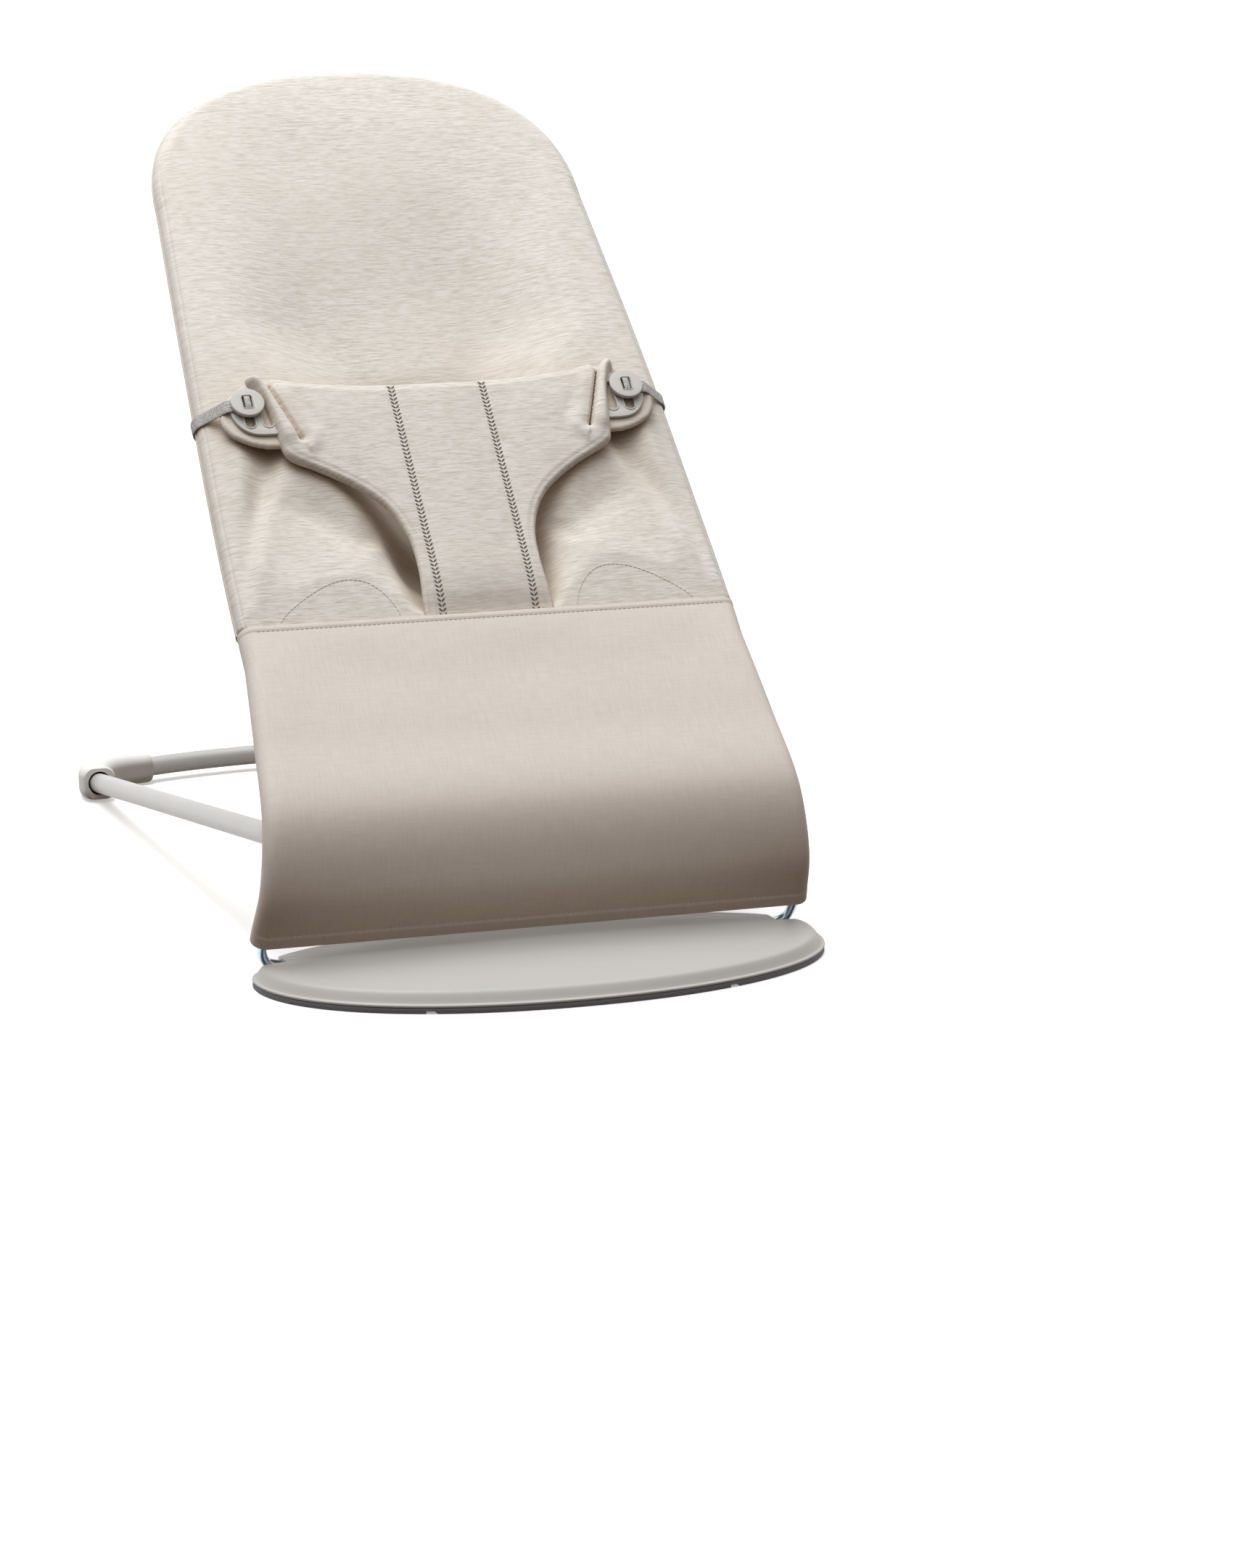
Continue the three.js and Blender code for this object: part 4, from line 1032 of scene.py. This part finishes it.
def rim_ring(side, loop, height, radius):
    """Raised rim: a thin cord laid round a closed loop."""
    path = np.array([(x, y, height) for x, y in loop])
    path = spaced(np.vstack([path, path[:1]]), 0.5)[:-1]
    ring = circle(radius, 8)
    tangent = unit(np.roll(path, -1, axis=0) - np.roll(path, 1, axis=0))
    outwards = np.stack([tangent[:, 1], -tangent[:, 0], np.zeros(len(path))], axis=1)
    up = np.array([0, 0, 1.0])
    rings = path[:, None] + outwards[:, None] * ring[None, :, :1] + up * ring[None, :, 1:]
    faces = closed_faces(len(path), len(ring))
    return add_solid("rim", fastener_points(side, rings.reshape(-1, 3)), faces, GREY_PLASTIC)


TAB_EDGE = [
    (-34, -35), (-20, -34.5), (-4, -32.5), (8, -27), (15.5, -20.5), (18.9, -12), (18.4, -3), (15.4, 4),
    (11.5, 10), (4, 17), (-3, 22), (-10, 23), (-34, 20),
]
PLATE_EDGE = [
    (-18, -25), (-8, -25), (-2, -24.2), (3, -21.8), (7.4, -17.5), (10.4, -12), (12, -6), (12.3, 0),
    (11.7, 4.5), (9.6, 8.8), (6.2, 12.0), (2, 13.5), (-3, 14), (-18, 14),
]


HEAD_BACK = KEYPLATE_FRONT + STRAP_T + 0.6
HEAD_FRONT = HEAD_BACK + 3.2
WINDOW = [(-3.3, -4.4), (-2.8, -5), (2.8, -5), (3.3, -4.4), (3.3, 4.4), (2.8, 5), (-2.8, 5), (-3.3, 4.4)]
LOOP_HALF_WIDTH, LOOP_HALF_LENGTH = 1.75, 4.7


def build_fastener(label, side):
    """Padded tab, keyhole plate, disc button with its elastic loop, and the strap of one side."""
    tab_edge = spaced(catmull([*TAB_EDGE, TAB_EDGE[0]], 8), 1.3)[:-1]
    place = lambda x, y: fastener_points(side, np.stack([x, y, np.full(len(x), 2.9)], axis=1))
    tab = pillow(
        f"restraint_tab_{label}", tab_edge, 1.5, place, lambda x, y: np.full(len(x), 2.5), 3.0, JERSEY_BACK)

    slots = (0, -SLOT_PITCH)
    body = plate(
        f"keyhole_plate_body_{label}", side, spaced(catmull(PLATE_EDGE, 8), 0.7),
        [slot_loop(x, SLOT_R) for x in slots], KEYPLATE_BACK, KEYPLATE_FRONT, 0.55)
    rims = [rim_ring(side, slot_loop(x, SLOT_R + 0.6), KEYPLATE_FRONT, 0.6) for x in slots]
    keyhole = join(f"keyhole_plate_{label}_moulded", [body, *rims])

    head = plate(
        f"disc_head_{label}", side, circle(DISC_R, 72), [WINDOW], HEAD_BACK + 0.9, HEAD_FRONT, 0.75,
        resolution=4)
    rounds = [
        plate(f"disc_{part}_{label}", side, circle(radius, count), [], bottom, top, edge)
        for part, radius, count, bottom, top, edge in (
            ("back", DISC_R - 0.3, 64, HEAD_BACK, HEAD_BACK + 1.1, 0.4),
            ("shank", 2.9, 24, KEYPLATE_BACK - 1, HEAD_BACK + 0.5, 0.2),
            ("foot", 4.6, 32, KEYPLATE_BACK - 1.9, KEYPLATE_BACK - 0.4, 0.3),
        )]
    rim_line = [(x * 1.14, y * 1.09) for x, y in [*WINDOW, WINDOW[0]]]
    rim = rim_ring(side, spaced(catmull(rim_line, 4), 0.5)[:-1], HEAD_FRONT - 0.02, 0.42)
    # painted shadow: a dark plate in the window stands for the shade in the gap beneath the disc's head
    painted_shadow = plate(
        f"window_painted_shadow_{label}", side, WINDOW, [], HEAD_BACK + 1.0, HEAD_BACK + 1.3, 0.1, PAINTED_WINDOW_SHADOW)
    disc = join(f"disc_button_{label}_moulded", [head, *rounds, rim, painted_shadow])

    # elastic seen in the window: ribbed, rounded across and bent down at both ends
    u, v = np.meshgrid(np.linspace(-1, 1, 9), np.linspace(-1, 1, 25))
    x, y = u * LOOP_HALF_WIDTH, v * LOOP_HALF_LENGTH
    ribs = 0.16 * np.abs(np.sin(v * 4.5 * math.pi))
    height = HEAD_BACK + 2.2 + 0.65 * np.sqrt(np.maximum(0, 1 - u * u * 0.8)) - 0.5 * v**4 + ribs
    points = fastener_points(side, np.stack([x, y, height], axis=-1).reshape(-1, 3)).reshape(*x.shape, 3)
    flat = np.stack([x, y, np.zeros_like(x)], axis=-1)
    elastic_loop = thick_sheet(f"elastic_loop_{label}", points, flat, 0.8 * side, ELASTIC)
    return tab, keyhole, disc, elastic_loop, build_strap(label, side)


def build_strap(label, side):
    """Elastic band from the disc over the edge of the seat and round the tube, and its middle line."""
    height = KEYPLATE_FRONT + 0.9
    centre = float(half_width(DISC_S)) - TUBE_INSET
    r = WRAP_R + 0.9
    wrap = [
        seat_point(DISC_S + 2, side * (centre + r * math.cos(a)), 0.4 - TUBE_DEPTH + r * math.sin(a))
        for a in np.radians([62, 30, 0, -35, -70, -105])]
    lead = fastener_points(side, [(4.2, 0, height), (10, 0, height), (14, 0, height - 0.4)])
    between = [lead[-1] + (wrap[0] - lead[-1]) * k for k in (0.35, 0.7)]
    path = spaced(catmull([*lead, *between, *wrap], 14), 1.2)
    tangent = unit(np.gradient(path, axis=0))
    wide = unit(RESTRAINT_UP - tangent * (tangent @ RESTRAINT_UP)[:, None])
    normal = np.cross(tangent, wide) * side
    # flat section with rounded corners
    c, q = circle(1.0, 28).T
    section = np.stack([
        STRAP_W / 2 * np.sign(c) * np.abs(c) ** 0.35, STRAP_T / 2 * np.sign(q) * np.abs(q) ** 0.7], axis=1)
    rings = path[:, None] + wide[:, None] * section[None, :, :1] + normal[:, None] * section[None, :, 1:]
    run = lengths(path)[:, None]
    flat = np.stack(np.broadcast_arrays(run, section[None, :, 0], section[None, :, 1]), axis=-1)
    obj = add_solid(
        f"strap_{label}_webbing", rings.reshape(-1, 3), capped_faces(*rings.shape[:2]), ELASTIC,
        flat.reshape(-1, 3), sharp=60)
    return obj, path


# ---------------------------------------------------------------- base


def plate_ring(inset, z, scale=1.0):
    """Outline of the base plate moved inwards by an inset, at a height, and scaled about its middle."""
    c, q = circle(1.0, 180).T
    power = 2 / PLATE_POWER
    depth = np.where(q < 0, PLATE_FRONT, PLATE_REAR)
    x = scale * (PLATE_HALF - inset) * np.sign(c) * np.abs(c) ** power
    y = scale * (depth - inset) * np.sign(q) * np.abs(q) ** power
    return np.stack([x, PLATE_Y + y, np.full(len(x), float(z))], axis=1)


# inset, height and scale of the shell's rings, from the middle of its underside round the rim to its crown
PLATE_RINGS = [
    (24, 13.5, 0.05), (24, 13.4, 0.38), (24, 12.2, 0.7), (24, 10.6, 0.93), (24, 10.2), (16.5, 8.6), (15, 8),
    (15, 4.3), (14.7, 4), (1.0, 4), (0.4, 4.2), (0.05, 4.6), (0, 5.0), (0.1, 5.5), (0.45, 5.85), (1.0, 6.05),
    (1.5, 6.15), (1.9, 6.35), (2.4, 6.9), (3.9, 9.1), (5.7, 11.5), (6.7, 12.5), (7.6, 13.05), (8.8, 13.4),
    (11, 13.6), (17, 13.85), (24, 14.1), (18, 14.7, 0.9), (18, 15.4, 0.74), (18, 15.9, 0.56),
    (18, 16.3, 0.38), (18, 16.55, 0.2), (18, 16.6, 0.05),
]
FLOOR_RING_RINGS = [(1.4, 0), (0.7, 0.2), (0.35, 0.7), (0.35, 3.2), (0.8, 3.8)]
RETAINER_X = (-120, 0, 120)


def lofted(name, rings, material=None):
    """Solid through rings of the base plate's outline."""
    rings = [plate_ring(*ring) for ring in rings]
    return add_solid(name, np.concatenate(rings), capped_faces(len(rings), len(rings[0])), material)


def block(x0, x1, y0, y1, z0, z1):
    corners = [(x, y, z) for z in (z0, z1) for y in (y0, y1) for x in (x0, x1)]
    faces = [(0, 2, 3, 1), (4, 5, 7, 6), (0, 1, 5, 4), (2, 6, 7, 3), (0, 4, 6, 2), (1, 3, 7, 5)]
    return add_mesh("block", corners, faces)


def rod(a, b, radius, count=24):
    return swept("rod", np.array([a, b], float), circle(radius, count), rounded=False)


def build_plate():
    """Moulded shell with its wire groove, two openings for the wire's risers and the screw holes."""
    shell = lofted("base_plate_shell", PLATE_RINGS, PLATE_PLASTIC)
    combine(shell, [block(x - 9, x + 9, -275, -241, 5.2, 13.4) for x in RETAINER_X], "UNION")
    groove_r = WIRE_R + 0.3
    screws = [(x, RECLINE_Y + end) for x in RETAINER_X for end in (-11, 11)]
    combine(shell, [
        block(-190, 190, RECLINE_Y - groove_r, RECLINE_Y + groove_r, 3, RECLINE_Z),
        rod((-180, RECLINE_Y, RECLINE_Z), (180, RECLINE_Y, RECLINE_Z), groove_r),
        block(169.5, 187.5, -271, -243, 3, 20), block(-187.5, -169.5, -271, -243, 3, 20),
        *[rod((x, y, 3), (x, y, 11), 1.8, 16) for x, y in screws],
    ])
    shade(shell, 28)
    return shell


def build_floor_ring():
    """Rubber ring under the plate's rim, with two notches at the front."""
    ring = lofted("floor_ring_pad", FLOOR_RING_RINGS, RUBBER)
    hole = lofted("hole", [(14, -1), (14, 5)])
    combine(ring, [hole, *[block(x - 3.5, x + 3.5, -420, -360, -1, 1.9) for x in (-102, 102)]])
    shade(ring, 35)
    return ring


# ---------------------------------------------------------------- rear leg and tubes


LEG_START = np.array([LEG_X, PIVOT_Y, PIVOT_Z])
LEG_DIRECTION = unit(np.array([LEG_X, TUBE_END_Y + 6, FOOT_Z]) - LEG_START)


def on_leg(side, distance):
    """Point on the side tube's middle line, a distance from the pivot."""
    return (LEG_START + LEG_DIRECTION * distance) * (side, 1, 1)


def leg_distance(y):
    return (y - PIVOT_Y) / LEG_DIRECTION[1]


def rounded_square(angle, half, corner):
    """Point on a square with rounded corners, in the direction of an angle."""
    c, q = math.cos(angle), math.sin(angle)
    reach = half / max(abs(c), abs(q))
    x, y = abs(c) * reach, abs(q) * reach
    m = half - corner
    if x > m and y > m:
        # the ray meets the corner's arc
        b = -(abs(c) * m + abs(q) * m)
        k = 2 * m * m - corner * corner
        reach = -b + math.sqrt(max(0, b * b - k))
    return c * reach, q * reach


def build_foot(label, side):
    """Soft corner foot: a rounded square sleeve bent round the corner, with a bore for the two tubes."""
    path = [on_leg(side, leg_distance(FOOT_FRONT_Y)), on_leg(side, leg_distance(TUBE_END_Y + 6))]
    path += [np.array([side * x, y, FOOT_Z]) for x, y in CORNER_BEND]
    path = spaced(catmull(path, 12), 1.6)
    _, sides, ups = frames_along(path)
    angles = np.arange(56) * 2 * math.pi / 56
    outer = np.array([rounded_square(a, FOOT_HALF, FOOT_CORNER_R) for a in angles])
    bore = circle(FOOT_BORE_R, 56)
    last = len(path) - 1
    outside, hollow = [], []
    for i, (p, across, up) in enumerate(zip(path, sides, ups)):
        t = i / last
        end = min(i, last - i) * 1.6
        size = (1 - 0.10 * max(0, 1 - end / 2.4) ** 2) * (1 - 0.10 * smooth(0.55, 1.0, t))
        outside.append(p + (outer[:, :1] * across + outer[:, 1:] * up) * size)
        hole = bore * (1 - 0.15 * smooth(0.3, 0.6, t))
        hollow.append(p + hole[:, :1] * across + hole[:, 1:] * up)
    points = np.concatenate([*outside, *hollow[::-1]])
    points[:, 2] = np.maximum(points[:, 2], 0)
    faces = closed_faces(2 * len(path), len(angles))
    return add_solid(f"corner_foot_{label}_soft", points, faces, FOOT_RUBBER, sharp=50)


def build_tubes():
    """Each tube of the frame, with the body it rides on and the CAD node it replaces."""
    lines = []
    for label, side in SIDES:
        leg = np.array([on_leg(side, LEG_HUB_R + 0.5), on_leg(side, leg_distance(TUBE_END_Y))])
        lines.append((f"leg_tube_{label}", spaced(leg, 20), "leg", f"leg_side_tube_{label}"))
        foot = [(side * x, y, z) for x, y, z in ARM_FOOT + ARM_BEND]
        arm = spaced(catmull([*foot, *[tube_point(s, side) for s in ARM_ALONG]], 24), 4)
        lines.append((f"seat_arm_tube_{label}", arm, "seat", f"seat_arm_{label}"))
    half = [(x, y, FOOT_Z) for x, y in CROSS_HALF]
    left = [(-x, y, z) for x, y, z in half]
    cross = spaced(catmull([*left, (0, CROSS_BOW_Y, FOOT_Z), *half[::-1]], 24), 4)
    lines.append(("leg_cross_tube_bent", cross, "leg", "leg_cross_tube"))
    limit = float(half_width(CAP_START)) - TUBE_INSET
    rim = lambda x: tuple(seat_point(cap_end(x / limit, TUBE_INSET), x, -TUBE_DEPTH))
    shares = [0.985, 0.93, 0.82, 0.66, 0.46, 0.24]
    arc = lambda side: [
        tube_point(JOINT_S + 0.4, side), tube_point(JOINT_S + 22, side),
        *[rim(side * f * limit) for f in shares]]
    loop = spaced(catmull([*arc(-1), rim(0), *arc(1)[::-1]], 16), 4)
    lines.append(("seat_loop_tube", loop, "seat", "seat_tube_top"))
    made = [(tube(name, line, TUBE_R, TUBE_PAINT), body, node) for name, line, body, node in lines]
    right = catmull(WIRE_RISER, 16)
    wire = spaced(np.concatenate([(right * (-1, 1, 1))[::-1], right]), 2.0)
    return [*made, (tube("spring_wire_bent", wire, WIRE_R, SPRING_STEEL, 20), "front_frame", "spring_wire")]


# ---------------------------------------------------------------- stage: floor, light, camera

CAMERA_AT = Vector((-0.87615, -3.14922, 0.77005))
CAMERA_YAW, CAMERA_PITCH, CAMERA_ROLL = math.radians(-18.005), math.radians(12.205), math.radians(-0.42)
CAMERA_LENS = 107.59


def add_camera():
    data = bpy.data.cameras.new("camera")
    data.lens, data.sensor_width = CAMERA_LENS, 36
    data.clip_start, data.clip_end = 0.05, 60
    camera = bpy.data.objects.new("camera", data)
    bpy.context.scene.collection.objects.link(camera)
    bpy.context.scene.camera = camera
    forward = Vector((
        -math.sin(CAMERA_YAW) * math.cos(CAMERA_PITCH), math.cos(CAMERA_YAW) * math.cos(CAMERA_PITCH),
        -math.sin(CAMERA_PITCH)))
    right = Vector((math.cos(CAMERA_YAW), math.sin(CAMERA_YAW), 0))
    up = right.cross(forward)
    turned_right = right * math.cos(CAMERA_ROLL) + up * math.sin(CAMERA_ROLL)
    turned_up = up * math.cos(CAMERA_ROLL) - right * math.sin(CAMERA_ROLL)
    camera.matrix_world = Matrix((
        (turned_right.x, turned_up.x, -forward.x, CAMERA_AT.x),
        (turned_right.y, turned_up.y, -forward.y, CAMERA_AT.y),
        (turned_right.z, turned_up.z, -forward.z, CAMERA_AT.z),
        (0, 0, 0, 1)))


def add_lamp(name, kind, power, colour, shines_from):
    data = bpy.data.lights.new(name, kind)
    data.energy, data.color = power, colour
    lamp = bpy.data.objects.new(name, data)
    bpy.context.scene.collection.objects.link(lamp)
    lamp.rotation_mode = "QUATERNION"
    lamp.rotation_quaternion = Vector(shines_from).to_track_quat("Z", "Y")
    return lamp


# brightness of the sky at heights from straight down (0) to straight up (1)
SKY = [(0.0, 0.20), (0.30, 0.08), (0.47, 0.02), (0.56, 0.05), (0.78, 0.57), (1.0, 1.38)]
# how much blue, and what share of that of green, the low sky lacks, and the heights between which it fades
WARM_BELOW, WARM_GREEN, WARM_HEIGHTS = 0.75, 0.6, (0.5, 0.9)
# least brightness of the sky behind the object, and the directions' Y between which it fades in
BEHIND, BEHIND_FROM, BEHIND_TO = 0.6, -0.1, 0.6
FLOOR_GLOW = 0.3
# radius and height of the floor's rings: level near the object, rising far away to close the view
FLOOR_RINGS = [(6000, 0), (12000, 0), (18000, 600), (28000, 3500), (45000, 12000), (60000, 24000)]
FLOOR_COUNT = 96
SUN_POWER, SUN_COLOUR, SUN_FROM, SUN_SPREAD = 1.1, (1.0, 0.98, 0.95), (-0.20, -0.06, 0.97), 50
HEAD_LAMP_POWER, HEAD_LAMP_COLOUR, HEAD_LAMP_SIZE = 18, (0.94, 0.98, 1.0), 1.1
HEAD_LAMP_AT, HEAD_LAMP_AIM = Vector((-0.35, 0.35, 1.9)), Vector((0, 0.05, 0.35))


def add_sky():
    """Soft sky: bright overhead, dim at eye level, warm below and lifted behind the object."""
    world = bpy.data.worlds.new("studio")
    world.use_nodes = True
    tree = world.node_tree
    at, parts, ramp, height, behind, lift = (tree.nodes.new(f"ShaderNode{kind}") for kind in (
        "TexCoord", "SeparateXYZ", "ValToRGB", "MapRange", "MapRange", "Mix"))
    height.inputs["From Min"].default_value, height.inputs["From Max"].default_value = -1, 1
    behind.inputs["From Min"].default_value, behind.inputs["From Max"].default_value = BEHIND_FROM, BEHIND_TO
    lift.data_type, lift.blend_type = "RGBA", "LIGHTEN"
    lift.inputs[7].default_value = (BEHIND, BEHIND, BEHIND, 1)
    stops = ramp.color_ramp.elements
    for place, _ in SKY[1:-1]:
        stops.new(place)
    for stop, (place, level) in zip(stops, SKY):
        warm = WARM_BELOW * (1 - smooth(*WARM_HEIGHTS, place))
        stop.position, stop.color = place, (level, level * (1 - WARM_GREEN * warm), level * (1 - warm), 1)
    for start, end in (
        (at.outputs["Generated"], parts.inputs[0]), (parts.outputs["Z"], height.inputs["Value"]),
        (height.outputs[0], ramp.inputs[0]), (parts.outputs["Y"], behind.inputs["Value"]),
        (behind.outputs[0], lift.inputs[0]), (ramp.outputs[0], lift.inputs[6]),
        (lift.outputs[2], tree.nodes["Background"].inputs["Color"]),
    ):
        tree.links.new(start, end)
    bpy.context.scene.world = world


def add_floor():
    """Pale floor that doesn't light the object."""
    m = Nodes("studio_floor")
    tone = m.mix(m.spread(m.noise(m.place(), 1.5, 2), 0.3, 0.7), rgb("F6F6F5"), rgb("F3F3F2"))
    # a faint glow of its own keeps the shadows on it as pale as in a product picture
    m.set(
        Base_Color=tone, Roughness=0.9, Specular_IOR_Level=0.1, Emission_Color=(1.0, 1.0, 1.0, 1.0),
        Emission_Strength=FLOOR_GLOW)
    m.material.cycles.emission_sampling = "NONE"
    rings = [np.pad(circle(r, FLOOR_COUNT), ((0, 0), (0, 1)), constant_values=z) for r, z in FLOOR_RINGS]
    faces = grid_faces(len(rings), FLOOR_COUNT, wrap=True).tolist() + [list(range(FLOOR_COUNT))[::-1]]
    floor = add_mesh("floor", np.concatenate(rings), faces, material=m.material)
    floor.visible_diffuse = False


def add_stage():
    """Sky, floor and two lamps."""
    bpy.context.scene.view_settings.view_transform = "Standard"
    add_sky()
    add_floor()
    sun = add_lamp("softbox", "SUN", SUN_POWER, SUN_COLOUR, SUN_FROM)
    sun.data.angle = math.radians(SUN_SPREAD)
    head = add_lamp("head_lamp", "AREA", HEAD_LAMP_POWER, HEAD_LAMP_COLOUR, HEAD_LAMP_AT - HEAD_LAMP_AIM)
    head.data.shape, head.data.size, head.data.size_y = "RECTANGLE", HEAD_LAMP_SIZE, HEAD_LAMP_SIZE
    head.location = HEAD_LAMP_AT


# brightness of the sky at heights from straight down (0) to straight up (1)


# ---------------------------------------------------------------- CAD nodes and lock springs

LOCK_AT_Y, LOCK_AT_Z = PIVOT_Y, PIVOT_Z - 20
COIL_FROM, COIL_TO, COIL_R, COIL_WIRE, COIL_TURNS = 141.6, 148.8, 2.95, 0.45, 3.5


def build_lock_spring(label, side):
    """Compression spring between the housing's cheek and the plunger's collar."""
    turn = np.linspace(0, 1, 120)
    angle = 2 * math.pi * COIL_TURNS * turn
    x = side * (COIL_FROM + (COIL_TO - COIL_FROM) * turn)
    path = np.stack([x, LOCK_AT_Y + COIL_R * np.cos(angle), LOCK_AT_Z + COIL_R * np.sin(angle)], axis=1)
    coil = swept(f"lock_coil_{label}", path, circle(COIL_WIRE, 10), SPRING_STEEL, rounded=False)
    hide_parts(f"lock_spring_{label}")
    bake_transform(coil)


CAD_FINISH = {
    "adjuster_housing": (HUB_PLASTIC, 0.7), "leg_hub": (HUB_PLASTIC, 0.6), "seat_hub": (HUB_PLASTIC, 0.6),
    "pivot_pin": (ZINC, 0.4), "lock_plunger": (ZINC, 0.3), "lock_knob": (GREY_PLASTIC, 0.5),
    "wire_retainer": (ZINC, 0.4), "retainer_screw": (ZINC, 0.3), "tube_joint_sleeve": (ZINC, 0),
}


def finish_cad_nodes():
    """Carried-over CAD nodes get their finish and a small edge radius."""
    for name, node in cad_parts.items():
        for prefix, (material, edge) in CAD_FINISH.items():
            if name.startswith(prefix):
                node.data.materials.clear()
                node.data.materials.append(material)
                shade(node, 32)
                if edge:
                    m = node.modifiers.new("edge", "BEVEL")
                    m.width, m.segments, m.harden_normals = edge * MM, 2, True
                    m.limit_method, m.angle_limit = "ANGLE", math.radians(40)


def settle(obj, body, slot, *nodes):
    if nodes:
        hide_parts(*nodes)
    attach(obj, body)
    return obj


# ---------------------------------------------------------------- assembly

add_camera()
add_stage()
finish_cad_nodes()

settle(build_plate(), "base", "plate_plastic", "base_plate")
settle(build_floor_ring(), "base", "rubber_rim", "floor_ring")
for made, body, node in build_tubes():
    settle(made, body, "spring_steel" if body == "front_frame" else "tube_paint", node)
for label, side in SIDES:
    settle(build_foot(label, side), "leg", "soft_foot", f"corner_foot_{label}")
    build_lock_spring(label, side)

cover = settle(build_cover(), "seat", "jersey", "seat_cover")
seam_x, seam_s = LOBE_SEAM[LOBE_SEAM[:, 1] > 246].T
seam_off = 0.15 - cover_front(seam_x, seam_s, outline_distance(seam_x, seam_s))
for label, side in SIDES:
    line = seat_point(seam_s, side * seam_x, seam_off)
    settle(running_stitch(f"thigh_seam_{label}", line, 2.6, 0.5, 0.24, PALE_THREAD), "seat", "jersey")
sleeve = build_sleeve()
settle(sleeve, "seat", "jersey")

restraint, stitching = build_restraint()
settle(restraint, "seat", "jersey", "restraint_panel")
settle(stitching, "seat", "elastic")
for label, side in SIDES:
    tab, keyhole, disc, elastic_loop, (strap, path) = build_fastener(label, side)
    settle(tab, "seat", "jersey")
    settle(keyhole, "seat", "grey_plastic", f"keyhole_plate_{label}")
    settle(disc, f"button_{label}", "grey_plastic", f"disc_button_{label}")
    settle(elastic_loop, f"button_{label}", "elastic")
    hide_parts(f"strap_{label}")
    near, far = path[8] * MM, path[-14] * MM
    tuple(near)
    tuple(far)
    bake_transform(strap)

panel = build_panel()
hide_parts("front_panel_lower", "front_panel_upper")
low, high = seat_point(88, 0) * MM, seat_point(112, 0) * MM
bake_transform(panel)
hems = (("hem_stitch_top", HEM_TOP_STITCH, "seat"), ("hem_stitch_bottom", HEM_BOTTOM_STITCH, "front_frame"))
for name, s, body in hems:
    w = float(half_width(s)) - PANEL_R
    across = np.linspace(-w, w, 200)
    line = seat_point(s, across, 0.1 - panel_depth(across, s))
    settle(running_stitch(name, line, 2.1, 1.2, 0.26, PANEL_THREAD), body, "woven")
